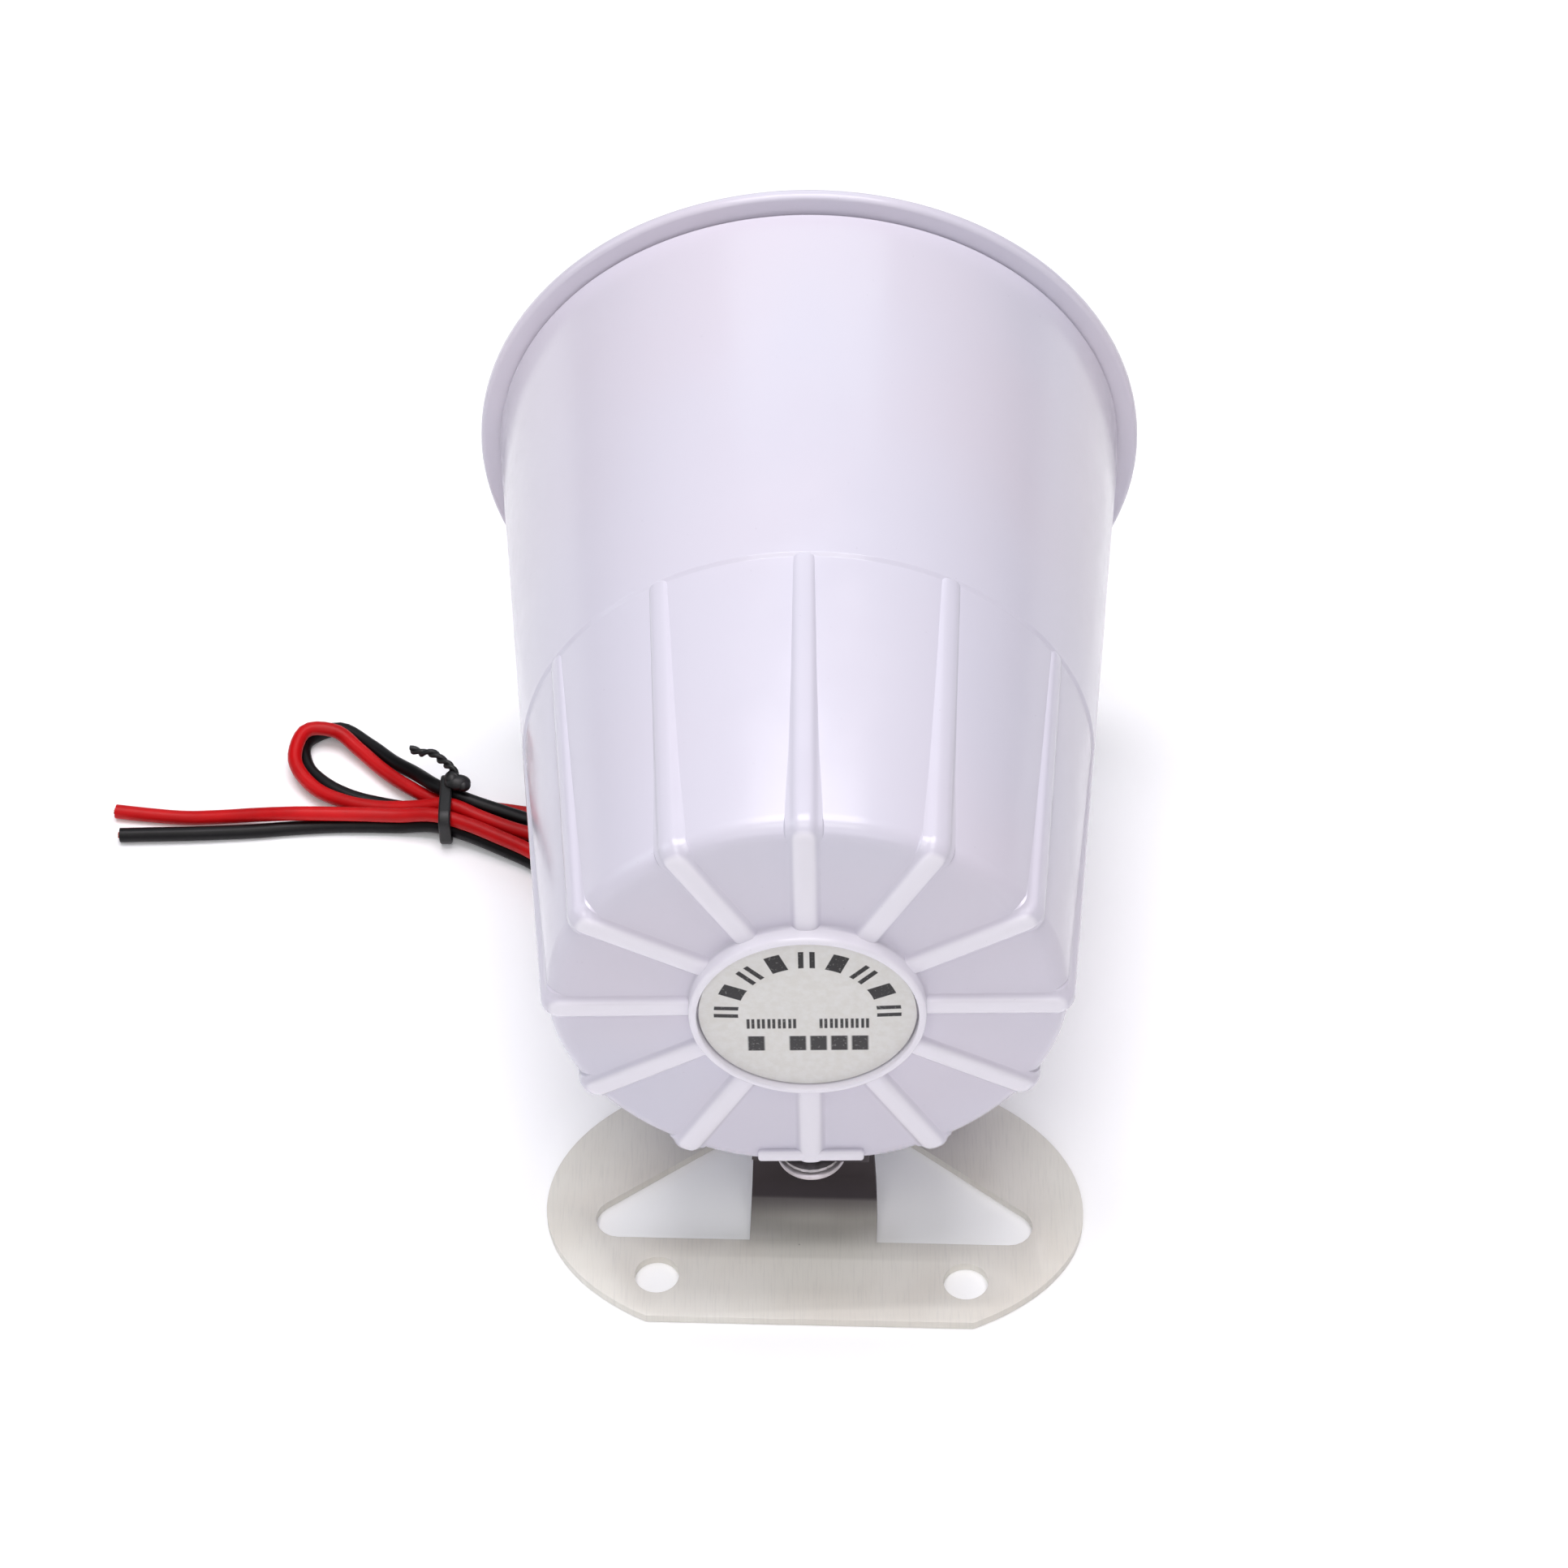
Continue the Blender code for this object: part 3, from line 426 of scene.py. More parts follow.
def dullLook(name, tone, second, rough, scale=500, depth=0.01 * mm):
    look = Look(name, IOR=1.5)
    patches = look.noise(look.place(), scale, 4)
    colour = look.blend(look.between(patches, 0.3, 0.7), tone, second)
    return look.set(Base_Color=colour, Roughness=rough + 0.15 * patches, Normal=look.bump(patches, depth))


def boardLook(name):
    # solder mask with pale copper tracks showing through
    look = Look(name, IOR=1.5)
    here = look.place()
    x, y, _ = look.parts(here)
    tracks = look.between((y * 420.0 + 0.8 * look.noise(here, 70, 0)).math("FRACT"), 0.62, 0.7)
    gaps = look.between((x * 260.0).math("FRACT"), 0.2, 0.3)
    colour = look.blend(tracks * gaps * 0.6, srgb(30, 92, 52), srgb(70, 140, 74))
    rough = 0.35 + 0.2 * look.noise(here, 600, 3)
    return look.set(Base_Color=colour, Roughness=rough, Normal=look.bump(tracks * gaps, 0.02 * mm))


hornLength = 120   # from the rib tops to the mouth, mm
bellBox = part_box("horn_bell")
# on the axis, level with the rib tops
hornMiddle = Vector((0, bellBox[1].y - hornLength * mm, (bellBox[0].z + bellBox[1].z) / 2))
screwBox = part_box("swivel_screw")
swivel = (screwBox[0] + screwBox[1]) / 2

housingPlastic = mouldedPlastic("housingPlastic", plasticSet, (1, 3, 1), hornMiddle.y)
bellPlastic = mouldedPlastic("bellPlastic", plasticSet, (1, 2, 1))
labelPrint = printedLabel("labelPrint", labelSet, hornMiddle)
footSteel = platedSteel("footSteel", steelSet)
screwPlate = platedScrew("screwPlate", srgb(222, 214, 220), (swivel.x, swivel.y, 0))
redCoat = wireCoat("redCoat", srgb(196, 10, 16), srgb(170, 5, 10))
blackCoat = wireCoat("blackCoat", srgb(14, 11, 14), srgb(7, 6, 8))
bareCopper = metalLook("bareCopper", srgb(190, 104, 88), srgb(150, 72, 62), 0.6, 0.35, 900)
tieNylon = dullLook("tieNylon", srgb(13, 11, 13), srgb(7, 6, 8), 0.4, 1500)
grommetRubber = dullLook("grommetRubber", srgb(34, 33, 34), srgb(22, 21, 22), 0.5, 900)
innerLooks = {
    "driver_cover": dullLook("coverResin", srgb(34, 34, 36), srgb(24, 24, 26), 0.4),
    "driver_spacer": dullLook("spacerResin", srgb(36, 35, 36), srgb(26, 25, 27), 0.45),
    "driver_yoke": metalLook("yokeIron", srgb(150, 150, 152), srgb(120, 120, 124), 0.9, 0.3),
    "top_plate": metalLook("plateIron", srgb(152, 151, 150), srgb(122, 121, 124), 0.9, 0.32),
    "driver_magnet": dullLook("magnetFerrite", srgb(62, 61, 64), srgb(44, 43, 46), 0.6, 900, 0.03 * mm),
    "voice_coil": metalLook("coilCopper", srgb(190, 100, 56), srgb(150, 72, 40), 0.8, 0.3, 90, 0.03 * mm,
                            (1, 0.02, 1)),
    "diaphragm": dullLook("diaphragmFilm", srgb(216, 190, 138), srgb(204, 172, 116), 0.3),
    "circuit_board": boardLook("boardMask"),
    "tone_chip": dullLook("chipResin", srgb(30, 30, 32), srgb(22, 22, 24), 0.45, 1600),
    "power_transistor": dullLook("transistorResin", srgb(32, 31, 33), srgb(20, 20, 22), 0.4, 1600),
    "capacitor": wireCoat("capacitorSleeve", srgb(28, 30, 44), srgb(20, 22, 34)),
    "choke": dullLook("chokeFerrite", srgb(58, 57, 60), srgb(40, 39, 42), 0.6, 900, 0.02 * mm),
    "coil_lead_1": wireCoat("coilRed", srgb(200, 26, 28), srgb(170, 16, 20)),
    "coil_lead_2": wireCoat("coilBlack", srgb(28, 25, 29), srgb(16, 14, 17)),
    "swivel_nut": metalLook("insertBrass", srgb(196, 168, 98), srgb(168, 140, 76), 0.9, 0.28, 700),
}
zincTones = (srgb(204, 200, 202), srgb(178, 174, 176))
for zincName in ("driver_screw_1", "driver_screw_2", "driver_screw_3", "board_screw_1", "board_screw_2",
                 "swivel_washer"):
    innerLooks[zincName] = metalLook(zincName + "Zinc", *zincTones, 0.85, 0.25, 700)
for nodeName, finish in innerLooks.items():
    node = frame["nodes"][nodeName]
    node.data.materials.clear()
    node.data.materials.append(finish)
print("finishes made")


# modelling helpers
def clearSelection():
    active = bpy.context.view_layer.objects.active
    if active and active.mode != "OBJECT":
        bpy.ops.object.mode_set(mode="OBJECT")
    bpy.ops.object.select_all(action="DESELECT")


def only(*pieces):
    clearSelection()
    for piece in pieces:
        piece.select_set(True)
    bpy.context.view_layer.objects.active = pieces[0]


def edit(piece):
    only(piece)
    bpy.ops.object.mode_set(mode="EDIT")
    bpy.ops.mesh.select_mode(type="VERT")
    bpy.ops.mesh.select_all(action="SELECT")


def leaveEdit():
    bpy.ops.object.mode_set(mode="OBJECT")


def settle(piece):
    # the object goes to the origin, its place into its mesh
    only(piece)
    bpy.ops.object.transform_apply(location=True, rotation=True, scale=True)
    return piece


def rotateBy(degrees, axis, centre):
    # with no window the operator turns the other way
    bpy.ops.transform.rotate(value=-radians(degrees), orient_axis=axis, center_override=tuple(centre))


def soften(points, count=6, closed=False):
    # rounds each corner given as (a, b, radius)
    made, last = [], len(points) - 1
    for i, point in enumerate(points):
        if len(point) == 2 or (not closed and i in (0, last)):
            made.append(tuple(point[:2]))
            continue
        here = Vector(point[:2])
        back = (Vector(points[i - 1][:2]) - here).normalized()
        on = (Vector(points[(i + 1) % len(points)][:2]) - here).normalized()
        half = back.angle(on) / 2
        middle = here + (back + on).normalized() * point[2] / sin(half)
        first = here + back * point[2] / (sin(half) / cos(half)) - middle
        final = here + on * point[2] / (sin(half) / cos(half)) - middle
        swing = first.angle_signed(final)
        for step in range(count + 1):
            made.append(tuple(middle + Matrix.Rotation(-swing * step / count, 2) @ first))
    return made


def outline(name, points):
    # a line of edges, made by extruding one vertex from place to place
    clearSelection()
    bpy.ops.mesh.primitive_plane_add(size=mm, location=points[0])
    piece = bpy.context.object
    piece.name = piece.data.name = name
    settle(piece)
    edit(piece)
    bpy.ops.mesh.merge(type="CENTER")
    for before, here in zip(points, points[1:]):
        bpy.ops.mesh.extrude_region_move(TRANSFORM_OT_translate={"value": Vector(here) - Vector(before)})
    return piece


def turned(name, profile, steps=160, centre=hornMiddle, axis="Y"):
    # a profile of (radius, distance along the axis) in mm, spun into a closed shell
    def at(radius, along):
        return centre + (Vector((radius, along, 0)) if axis == "Y" else Vector((radius, 0, along))) * mm
    piece = outline(name, [at(*point) for point in profile])
    bpy.ops.mesh.select_all(action="SELECT")
    bpy.ops.mesh.spin(steps=steps, angle=tau, center=centre, axis=(0, 1, 0) if axis == "Y" else (0, 0, 1))
    bpy.ops.mesh.select_all(action="SELECT")
    bpy.ops.mesh.remove_doubles(threshold=0.001 * mm)
    bpy.ops.mesh.normals_make_consistent(inside=False)
    leaveEdit()
    return piece


def cut(piece, other, operation="DIFFERENCE"):
    only(piece)
    made = piece.modifiers.new(operation, "BOOLEAN")
    made.operation, made.object, made.solver = operation, other, "EXACT"
    bpy.ops.object.modifier_apply(modifier=made.name)
    bpy.data.objects.remove(other)
    return piece


def peg(radius, low, high, centre, axis="Z", sides=48):
    # a cylinder between two distances along an axis through the centre, mm
    clearSelection()
    turn = {"Z": (0, 0, 0), "Y": (-pi / 2, 0, 0)}[axis]
    way = Vector((0, 0, 1)) if axis == "Z" else Vector((0, 1, 0))
    place = centre + way * (low + high) / 2 * mm
    bpy.ops.mesh.primitive_cylinder_add(vertices=sides, radius=radius * mm, depth=(high - low) * mm,
                                        location=place, rotation=turn)
    return settle(bpy.context.object)


def block(size, place, degrees=0, axis="Z", pivot=None):
    # a box of that size in mm at a place in metres, then turned about the pivot
    clearSelection()
    bpy.ops.mesh.primitive_cube_add(size=mm, location=place)
    piece = bpy.context.object
    settle(piece)
    edit(piece)
    bpy.ops.transform.resize(value=size, center_override=tuple(place))
    if degrees:
        rotateBy(degrees, axis, pivot)
    leaveEdit()
    return piece


def bevelEdges(piece, width, segments=3, angle=35):
    only(piece)
    made = piece.modifiers.new("edges", "BEVEL")
    made.width, made.segments = width * mm, segments
    made.limit_method, made.angle_limit = "ANGLE", radians(angle)
    made.use_clamp_overlap = True
    bpy.ops.object.modifier_apply(modifier=made.name)
    return piece


def closeLoop():
    # the outline just drawn becomes a face
    bpy.ops.mesh.select_all(action="SELECT")
    bpy.ops.mesh.edge_face_add()


def raiseFace(step):
    # the face is drawn out into a closed solid, step in mm
    bpy.ops.mesh.extrude_region_move(TRANSFORM_OT_translate={"value": Vector(step) * mm})
    bpy.ops.mesh.select_all(action="SELECT")
    bpy.ops.mesh.normals_make_consistent(inside=False)
    leaveEdit()


def asMesh(curve):
    only(curve)
    bpy.ops.object.convert(target="MESH")
    return bpy.context.object


def joined(pieces, name):
    only(*pieces)
    bpy.ops.object.join()
    made = bpy.context.object
    made.name = made.data.name = name
    return made


def finished(piece, name, finish, body, slot, *nodes, angle=38):
    # named, smoothed, given its finish and set on its body in place of its solids
    settle(piece)
    piece.name = piece.data.name = name
    bpy.ops.object.shade_smooth_by_angle(angle=radians(angle))
    piece.data.materials.clear()
    piece.data.materials.append(finish)
    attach(piece, body)
    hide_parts(*nodes)
    return piece


# housing
housingSet = {
    "length": 117.6, "backRadius": 38.3, "frontRadius": 49.45, "wall": 2.3, "edgeRound": 3.0,
    "panelDepth": 0.9, "panelEnd": 50, "ribs": 12,
    "labelRadius": 15.7, "bossRadius": 17.1, "bossHeight": 1.8,
    "seatDrop": 35.0, "seatRadius": 13.5, "seatBlock": 14.6, "boreRadius": 2.35, "strip": (15.8, 2.1, 2.1),
    "leadAlong": 74.0, "leadHole": 4.0,
    # half a rib's section, from its foot to its top: (beside, above)
    "ribHalf": (
        (2.9, -1.5), (2.6, -1.02), (2.15, -0.88), (1.85, -0.7), (1.58, -0.45), (1.28, -0.2), (0.9, -0.05),
        (0.45, 0.0), (0.0, 0.02),
    ),
}


def outerRadius(along, s=housingSet):
    return s["backRadius"] + (s["frontRadius"] - s["backRadius"]) * along / s["length"]


def ribLine(s):
    # top line of a rib: (distance from the axis, along, tilt of its face in degrees)
    rounding, end = s["edgeRound"], s["panelEnd"]
    corner = outerRadius(rounding) - rounding
    line = [(16.4, 0.0, 0), (22, 0.0, 0), (29, 0.0, 0)]
    for tilt in np.linspace(0, 90, 9):
        a = radians(tilt)
        line.append((corner + rounding * sin(a), rounding - rounding * cos(a), tilt))
    for along in (8, 16, 26, 36, 44, end - 1.4):
        line.append((outerRadius(along), along, 90))
    # it sinks into the wall past the panels
    line += [(outerRadius(end - 0.4) - 0.03, end - 0.4, 90), (outerRadius(end + 0.6) - 0.16, end + 0.6, 90)]
    return line


def makeRibs(s):
    section = s["ribHalf"] + tuple((-x, n) for x, n in s["ribHalf"][-2::-1])
    line = ribLine(s)
    radius, along, _ = line[0]
    start = hornMiddle + Vector((0, along, radius)) * mm
    ribs = outline("ribs", [start + Vector((x, -n, 0)) * mm for x, n in section])
    closeLoop()
    for (r0, a0, t0), (r1, a1, t1) in zip(line, line[1:]):
        bpy.ops.mesh.extrude_region_move(TRANSFORM_OT_translate={"value": Vector((0, a1 - a0, r1 - r0)) * mm})
        if t1 != t0:
            rotateBy(t0 - t1, "X", hornMiddle + Vector((0, a1, r1)) * mm)
    bpy.ops.mesh.select_all(action="SELECT")
    bpy.ops.mesh.normals_make_consistent(inside=False)
    copies = s["ribs"] - 1
    bpy.ops.mesh.spin(steps=copies, angle=tau * copies / s["ribs"], center=hornMiddle, axis=(0, 1, 0),
                      dupli=True)
    leaveEdit()
    return ribs


def makeHousing(s):
    depth, wall, end, front = s["panelDepth"], s["wall"], s["panelEnd"], s["frontRadius"]
    floor = outerRadius(0) - depth
    inner = outerRadius(3) - wall - depth
    profile = soften((
        # label pocket, boss and back panels
        (0, 0.1), (s["labelRadius"] + 0.3, 0.1, 0.15), (s["labelRadius"] + 0.3, -s["bossHeight"], 0.3),
        (s["bossRadius"], -s["bossHeight"], 0.62), (s["bossRadius"] + 0.1, depth, 0.55),
        (floor, depth, s["edgeRound"] + 0.1),
        # step out of the side panels, then the plain barrel
        (outerRadius(end) - 0.42, end - 0.45, 0.3), (outerRadius(end + 0.1), end + 0.1, 0.3),
        (front, s["length"], 0.5), (front - wall, s["length"]),
        # back along the inside
        (outerRadius(end + 4.6) - wall, end + 4.6), (outerRadius(end) - wall - depth, end - 2.3),
        (inner, 6, 1), (inner - 3, depth + wall, 1), (0, depth + wall),
    ))
    shell = turned("housing", profile, 180)
    # a block inside the wall carries the flat seat and the screw's bore
    drop, seat = s["seatDrop"], Vector((swivel.x, swivel.y, hornMiddle.z))
    boss = peg(s["seatBlock"], -40, -30, seat, sides=90)
    skin = turned("skin", [
        (0, depth + 0.5), (floor - 4, depth + 0.5), (floor - 1, depth + 3.4), (outerRadius(60) - 1.6, 60),
        (0, 60),
    ], 120)
    shell = cut(shell, cut(boss, skin, "INTERSECT"), "UNION")
    shell = cut(shell, peg(s["seatRadius"], -70, -drop, seat, sides=120))
    shell = cut(shell, peg(s["boreRadius"], -45, -20, seat))
    shell = cut(shell, peg(s["leadHole"], -60, -30, hornMiddle + Vector((0, s["leadAlong"], 0)) * mm))
    ribs = cut(makeRibs(s), peg(s["seatRadius"], -70, -drop, seat, sides=120))
    strip = bevelEdges(block(s["strip"], hornMiddle + Vector((0, 1.1, 1.05 - drop)) * mm), 0.5)
    return joined([shell, ribs, strip], "siren_housing")


housing = makeHousing(housingSet)
finished(housing, "siren_housing", housingPlastic, "head", "white_abs", "rear_housing")
print("housing made:", len(housing.data.polygons), "faces")


# label
def makeLabel(s):
    low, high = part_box("label_disc")
    middle = (low + high) / 2
    middle.z = hornMiddle.z
    return bevelEdges(peg(s["labelRadius"], -0.3, 0.3, middle, "Y", 160), 0.08, 2)


finished(makeLabel(housingSet), "label_plate", labelPrint, "head", "label_paper", "label_disc")


# horn
hornSet = {
    "floor": 40.2, "length": hornLength, "wall": 2.0, "skirt": 46.5, "hub": (9.4, 18.5),
    "rimRadius": 52.5, "rimBack": 117.95, "rimRound": 0.85,
    "throat": 22.0, "flare": 20.0, "flarePower": 1.35, "lip": 7.0, "lipPower": 12,
}


def bellRadius(along, s=hornSet):
    share = (along - s["floor"]) / (s["length"] - s["floor"])
    return s["throat"] + s["flare"] * share ** s["flarePower"] + s["lip"] * share ** s["lipPower"]


def makeHorn(s):
    floor, length, rim, back, rounding = s["floor"], s["length"], s["rimRadius"], s["rimBack"], s["rimRound"]
    bore, hub = s["hub"]
    inside = [(bellRadius(a), a) for a in np.linspace(floor + 3, length - 1.2, 30)]
    roll = [(rim - 2.9, length - 0.25), (rim - 2.3, length)]
    for middle, first, last in ((length - rounding, 90, -10), (back + rounding, -15, -105)):
        for a in range(first, last, -15):
            roll.append((rim - rounding + rounding * cos(radians(a)), middle + rounding * sin(radians(a))))
    outside = [(bellRadius(a) + s["wall"], a) for a in np.linspace(length - 9, floor + 3, 16)]
    profile = [(bore, floor), (hub, floor), *inside, *roll]
    profile += [(s["skirt"], back), (s["skirt"] - 0.3, length - 6), *outside]
    profile += [(bellRadius(floor) + 1, floor - 2.2), (bore, floor - 2.2), (bore, floor)]
    return turned("horn", profile, 200)


finished(makeHorn(hornSet), "horn_flare", bellPlastic, "head", "white_abs", "horn_bell")

reflectorSet = {
    "radius": 15.6, "inner": 13.6, "noseAt": 88, "nose": 15.0, "noseInner": 12.6,
    "back": 52, "backRadius": 19.5, "backInner": 17.5, "finPlace": (0, 68, 13.9), "fin": (2, 20, 8.8),
}


def makeReflector(s):
    # a hollow bullet on three fins
    angles = np.linspace(pi / 2, 0, 14)
    nose = [(s["radius"] * cos(a), s["noseAt"] + s["nose"] * sin(a)) for a in angles]
    angles = np.linspace(0, pi / 2, 10)
    dome = [(s["inner"] * cos(a), s["noseAt"] + s["noseInner"] * sin(a)) for a in angles]
    nose[0], dome[-1] = (0, nose[0][1]), (0, dome[-1][1])
    skirt = soften([
        (s["radius"], s["noseAt"]), (s["backRadius"], s["back"], 0.9), (s["backInner"], s["back"], 0.9),
        (s["inner"], s["noseAt"]),
    ])
    pieces = [turned("reflector", nose + skirt[1:-1] + dome, 120)]
    for degrees in (0, 120, 240):
        fin = block(s["fin"], hornMiddle + Vector(s["finPlace"]) * mm, degrees, "Y", hornMiddle)
        pieces.append(bevelEdges(fin, 0.3))
    return joined(pieces, "reflector_cup")


finished(makeReflector(reflectorSet), "reflector_cup", bellPlastic, "head", "white_abs", "reflector")
print("horn made")


# foot
footSet = {
    "sheet": 1.5, "halfWidth": 41.25, "middleY": 13.4, "frontAxis": 26.5, "rearAxis": 29.0, "frontY": -7.8,
    "holeX": 23.5, "holeRadius": 3.4, "armBaseY": 7.1, "armWidth": 19.4, "armTopWidth": 17.4,
    "armBend": 7.0, "tabBend": 1.2, "tabEndY": 5.3, "tabUnder": 23.2, "tabHole": 2.35, "turn": -2.1,
    "opening": ((40.5, 7.1, 3.6), (0, 38.2, 9.0), (-40.5, 7.1, 3.6)),   # corners and their rounding
}


def plateFrom(name, points, low, high):
    # a flat outline closed with a face and raised to a thickness, mm
    piece = outline(name, [Vector((x, y, low)) * mm for x, y in points])
    closeLoop()
    raiseFace((0, 0, high - low))
    return piece


def makeFoot(s):
    start = asin((s["frontY"] - s["middleY"]) / s["frontAxis"])
    edge = []
    for angle in np.linspace(start, pi - start, 90):
        deep = s["frontAxis"] if sin(angle) < 0 else s["rearAxis"]
        edge.append((s["halfWidth"] * cos(angle), s["middleY"] + deep * sin(angle)))
    plate = plateFrom("foot", edge, 0, s["sheet"])
    plate = cut(plate, plateFrom("opening", soften(s["opening"], 8, True), -2, 4))
    for side in (-1, 1):
        plate = cut(plate, peg(s["holeRadius"], -2, 4, Vector((side * s["holeX"], 0, 0)) * mm))

    # the tongue's side view: its front from the plate up to the tab, then its back down again
    sheet, bend, small = s["sheet"], s["armBend"], s["tabBend"]
    armY, under = s["armBaseY"] + bend, s["tabUnder"]

    def arc(y, z, radius, first, last, count):
        angles = np.radians(np.linspace(first, last, count))
        return [(y + radius * cos(a), z + radius * sin(a)) for a in angles]

    facing = [(s["armBaseY"] - 3, sheet)] + arc(s["armBaseY"], sheet + bend, bend, -90, 0, 14)
    facing += arc(armY - small, under - small, small, 0, 90, 6)
    facing += [(s["tabEndY"], under), (s["tabEndY"], under + sheet)]
    behind = arc(armY - small, under - small, small + sheet, 90, 0, 8)
    behind += arc(s["armBaseY"], sheet + bend, bend + sheet, 0, -90, 14) + [(s["armBaseY"] - 3, 0)]
    wide = s["armWidth"] / 2
    tongue = outline("tongue", [Vector((-wide, y, z)) * mm for y, z in facing + behind])
    closeLoop()
    raiseFace((2 * wide, 0, 0))
    # the arm narrows towards its top
    taper = (s["armWidth"] - s["armTopWidth"]) / s["armWidth"] / under
    for vertex in tongue.data.vertices:
        vertex.co.x *= 1 - taper * max(0.0, vertex.co.z / mm - sheet)
    foot = cut(plate, tongue, "UNION")
    foot = cut(foot, peg(s["tabHole"], 20, 30, Vector((0, swivel.y, 0))))
    bevelEdges(foot, 0.22, 3, 40)
    edit(foot)
    rotateBy(s["turn"], "Z", (swivel.x, swivel.y, 0))
    leaveEdit()
    return foot


foot = finished(makeFoot(footSet), "foot_bracket", footSteel, "foot", "foot_steel", "bracket", angle=30)
print("foot made:", len(foot.data.polygons), "faces")


# swivel screw
swivelSet = {
    "shank": 1.95, "head": 5.2, "headTop": 22.0, "headEdge": 0.7, "headLow": 19.6, "tip": 33.0,
    "slot": (4.6, 0.9, 2.2), "slotTurns": (20, 110),
}


def makeSwivelScrew(s):
    low, top, head, edge, shank = s["headLow"], s["headTop"], s["head"], s["headEdge"], s["shank"]
    profile = [(0, s["tip"]), (shank - 0.4, s["tip"]), (shank, s["tip"] - 0.5), (shank, top)]
    profile += [(head - 0.1, top), (head, top - 0.12)]
    for a in np.linspace(0.0, pi / 2, 7):
        profile.append((head - edge + edge * cos(a), top - edge - edge * sin(a)))
    profile += [(3.0, top - 2.1), (1.5, low + 0.08), (0, low)]
    screw = turned("swivelScrew", profile, 72, Vector((swivel.x, swivel.y, 0)), "Z")
    for degrees in s["slotTurns"]:
        place = Vector((swivel.x, swivel.y, low * mm))
        screw = cut(screw, block(s["slot"], place, degrees, "Z", place))
    return screw


finished(makeSwivelScrew(swivelSet), "pan_screw", screwPlate, "foot", "zinc", "swivel_screw", angle=30)


# lead, its bare ends, tie and grommet
def makeLead(s):
    made = {}
    for colour, side, finish in (("red", 1, redCoat), ("black", -1, blackCoat)):
        points = wirePoints(s, side, s["shorter"][colour])
        wire = tubeCurve(colour + "_lead", points, s["radius"])
        wire.data.materials.append(finish)
        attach(wire, "head")
        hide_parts(colour + "_wire")
        made[colour] = (wire, points)
    return made


def makeStrands(name, points, s):
    # seven strands, six of them wound round the middle one, spreading a little at the cut
    end = Vector(points[-1])
    way = (end - Vector(points[-3])).normalized()
    side = way.cross(Vector((0, 0, 1))).normalized()
    up = side.cross(way)
    strands = []
    for i in range(7):
        out = 0.0 if i == 0 else s["strandRing"] * mm
        line = []
        for share in np.linspace(0, 1, 9):
            along = (s["bare"] - s["strandLength"] * (1 - share)) * mm
            turn = tau * i / 6 + 1.1 * share
            spread = out * (1 + 0.15 * share)
            line.append(end + way * along + (side * cos(turn) + up * sin(turn)) * spread)
        strands.append(asMesh(tubeCurve("strand", line, s["strand"] * mm, 2)))
    return joined(strands, name)


wires = makeLead(leadSet)
for colour in ("red", "black"):
    strandName = colour + "_strands"
    strands = makeStrands(strandName, wires[colour][1], leadSet)
    finished(strands, strandName, bareCopper, "head", "copper", colour + "_core")


tieSet = {
    "halfWide": 5.0, "low": 0.8, "high": 6.6, "corner": 1.9, "thick": 0.7, "wide": 2.0,
    "knotPlace": (1.9, 2.6, 0.9),   # from the middle of the band's top, mm
    # the knot's lumps: (place, size)
    "lumps": (
        ((0, 0, -0.1), (2.2, 1.5, 1.25)), ((-0.9, 0.7, 0.35), (1.3, 1.4, 1.0)),
        ((1.0, -0.5, -0.2), (1.2, 1.2, 1.0)),
    ),
    "tail": (
        (0, 0, 0.3), (-1.0, 2.2, 0.9), (-2.6, 4.2, 0.7), (-4.4, 5.6, 1.1), (-6.4, 6.2, 0.6), (-8.0, 7.2, 0.5),
    ),
    "tailStep": 0.3, "tailTurn": 0.55, "tailOut": 0.38, "tailRadius": 0.42,
}


def makeTieBand(s, middle):
    wide = s["halfWide"] + s["thick"] / 2
    tall = (s["high"] - s["low"] + s["thick"]) / 2
    corners = ((wide, tall), (-wide, tall), (-wide, -tall), (wide, -tall))
    loop = soften([(*corner, s["corner"]) for corner in corners], 8, True)
    data = bpy.data.curves.new("tieBand", "CURVE")
    data.dimensions = "2D"
    data.fill_mode = "NONE"
    data.extrude = (s["wide"] - s["thick"]) / 2 * mm
    data.bevel_depth, data.bevel_resolution = s["thick"] / 2 * mm, 3
    spline = data.splines.new("POLY")
    spline.points.add(len(loop) - 1)
    for point, (y, z) in zip(spline.points, loop):
        point.co = (y * mm, z * mm, 0, 1)
    spline.use_cyclic_u = True
    band = bpy.data.objects.new("tieBand", data)
    bpy.context.scene.collection.objects.link(band)
    band = asMesh(band)
    edit(band)
    bpy.ops.mesh.remove_doubles(threshold=0.001 * mm)
    rotateBy(90, "X", (0, 0, 0))
    rotateBy(90, "Z", (0, 0, 0))
    bpy.ops.transform.translate(value=middle)
    leaveEdit()
    return band


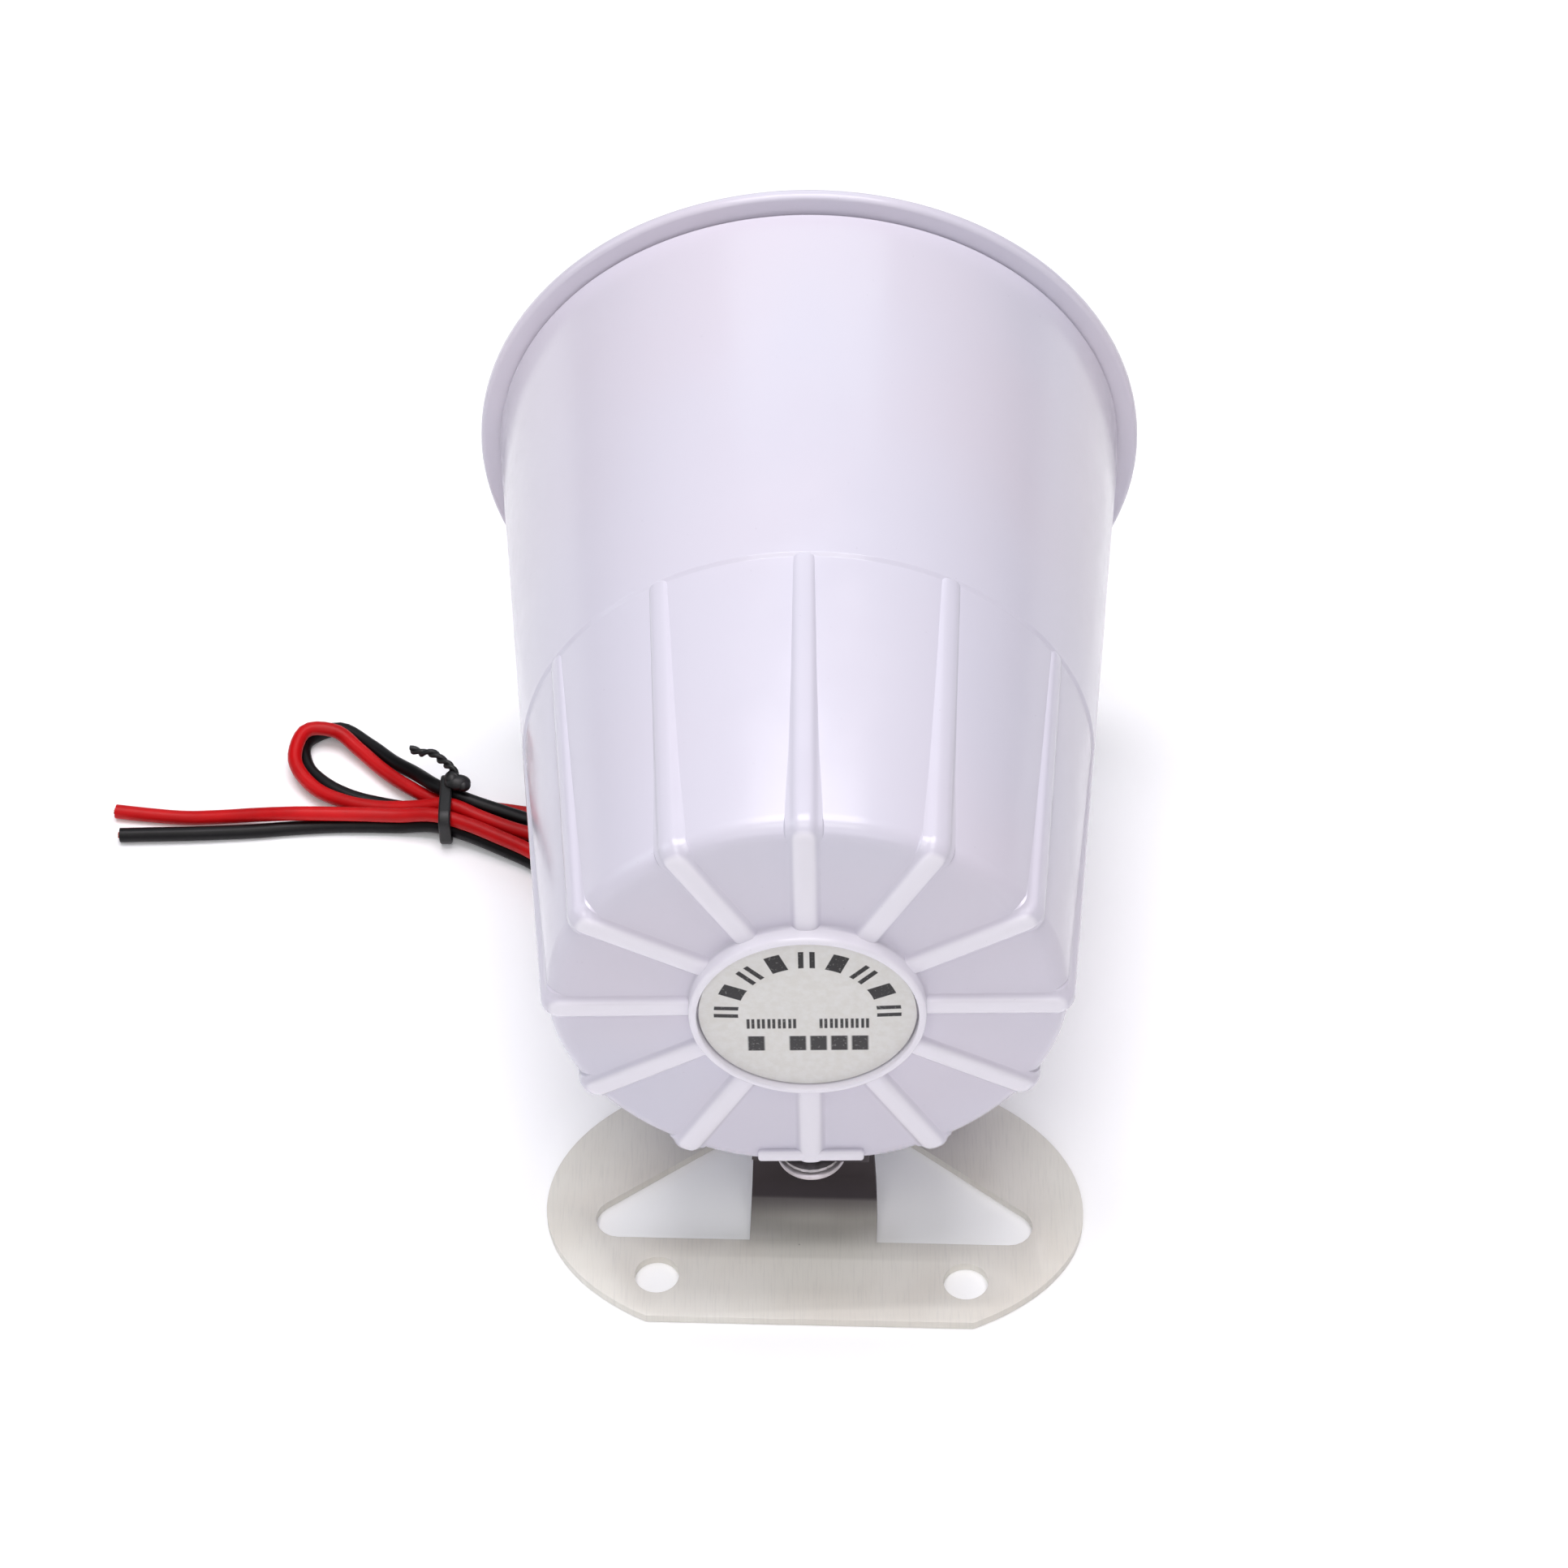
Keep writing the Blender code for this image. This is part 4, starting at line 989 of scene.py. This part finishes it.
def makeTie(s, lead):
    # a band round the bundle, a knot on top of it and a twisted tail
    here = Vector(lead["route"][lead["tiePoint"]][:2] + (0,)) * mm
    pieces = [makeTieBand(s, here + Vector((0, 0, (s["low"] + s["high"]) / 2)) * mm)]
    knot = here + (Vector((0, 0, s["high"])) + Vector(s["knotPlace"])) * mm
    for shift, size in s["lumps"]:
        place = knot + Vector(shift) * mm
        clearSelection()
        bpy.ops.mesh.primitive_uv_sphere_add(segments=20, ring_count=12, radius=mm, location=place)
        lump = bpy.context.object
        settle(lump)
        edit(lump)
        bpy.ops.transform.resize(value=size, center_override=tuple(place))
        leaveEdit()
        pieces.append(lump)
    tail = smoothRoute(s["tail"], s["tailStep"])
    for phase in (0, pi):
        line = []
        for i, row in enumerate(tail):
            turn = phase + i * s["tailTurn"]
            out = Vector((cos(turn), 0.4 * cos(turn), sin(turn))) * s["tailOut"]
            line.append(knot + (Vector(row) + out) * mm)
        pieces.append(asMesh(tubeCurve("twist", line, s["tailRadius"] * mm, 3)))
    return joined(pieces, "wire_tie")


finished(makeTie(tieSet, leadSet), "wire_tie", tieNylon, "head", "black_nylon", "cord_tie")

grommetSet = {"inner": 2.75, "neck": 3.7, "lip": 4.9, "foot": 5.2, "lipDeep": 1.5, "footDeep": 1.9}


def makeGrommet(s):
    low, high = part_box("lead_gland")
    centre = Vector(((low.x + high.x) / 2, (low.y + high.y) / 2, low.z))
    top = (high.z - low.z) / mm
    under, over = top - s["lipDeep"], s["footDeep"]
    profile = soften([
        (s["inner"], top, 0.3), (s["lip"], top, 0.4), (s["lip"], under, 0.3), (s["neck"], under, 0.2),
        (s["neck"], over, 0.2), (s["foot"], over, 0.3), (s["foot"] - 0.5, 0.0, 0.6), (s["inner"], 0.0, 0.5),
    ], 4, True)
    return turned("grommet", profile + profile[:1], 64, centre, "Z")


finished(makeGrommet(grommetSet), "lead_grommet", grommetRubber, "head", "black_rubber", "lead_gland")
print("lead made")


# floor and light
studioSet = {
    "floor": srgb(250, 250, 251), "floorSecond": srgb(248, 248, 250), "floorGlow": 0.1,
    "world": srgb(250, 250, 255), "worldStrength": 0.05,
    # place, aim, size, power and tint of each lamp
    "lamps": (
        ("topSoft", (0.0, 0.15, 1.3), (0, 0.06, 0.05), (1.0, 0.8), 15.6, (1.0, 0.97, 1.0)),
        ("frontTopSoft", (0.0, -0.7, 1.2), (0, 0.03, 0.06), (0.9, 0.5), 4.8, (1.0, 1.0, 0.95)),
        ("frontSoft", (0.0, -1.3, 0.7), (0, 0.0, 0.06), (1.2, 0.6), 4.0, (0.96, 0.93, 1.0)),
        ("backSoft", (0.0, 1.2, 0.9), (0, 0.06, 0.06), (1.0, 0.7), 2.4, (0.85, 0.96, 1.0)),
        ("leftSoft", (-1.2, 0.0, 0.7), (0, 0.05, 0.06), (0.7, 0.7), 2.0, (0.84, 0.96, 1.0)),
    ),
}


def makeStudio(s):
    clearSelection()
    bpy.ops.mesh.primitive_plane_add(size=6, location=(0, 0, -0.0001))
    floor = bpy.context.object
    floor.name = "studio_floor"
    look = Look("floorPaper", IOR=1.4)
    tone = look.blend(look.noise(look.place(), 8, 2), s["floor"], s["floorSecond"])
    look.set(Emission_Color=s["floor"], Emission_Strength=s["floorGlow"])
    paper = look.set(Base_Color=tone, Roughness=0.8 + 0.1 * look.noise(look.place(), 200, 2))
    floor.data.materials.append(paper)
    world = bpy.data.worlds.new("studioAir")
    world.use_nodes = True
    air = world.node_tree.nodes["Background"].inputs
    air["Color"].default_value = s["world"]
    air["Strength"].default_value = s["worldStrength"]
    bpy.context.scene.world = world
    for name, place, aim, size, power, tint in s["lamps"]:
        data = bpy.data.lights.new(name, "AREA")
        data.shape = "RECTANGLE"
        data.size, data.size_y = size
        data.energy, data.color = power, tint
        lamp = bpy.data.objects.new(name, data)
        bpy.context.scene.collection.objects.link(lamp)
        lamp.location = place
        lamp.rotation_euler = (Vector(aim) - Vector(place)).to_track_quat("-Z", "Y").to_euler()
    bpy.context.scene.view_settings.view_transform = "Standard"


makeStudio(studioSet)
print("studio made")
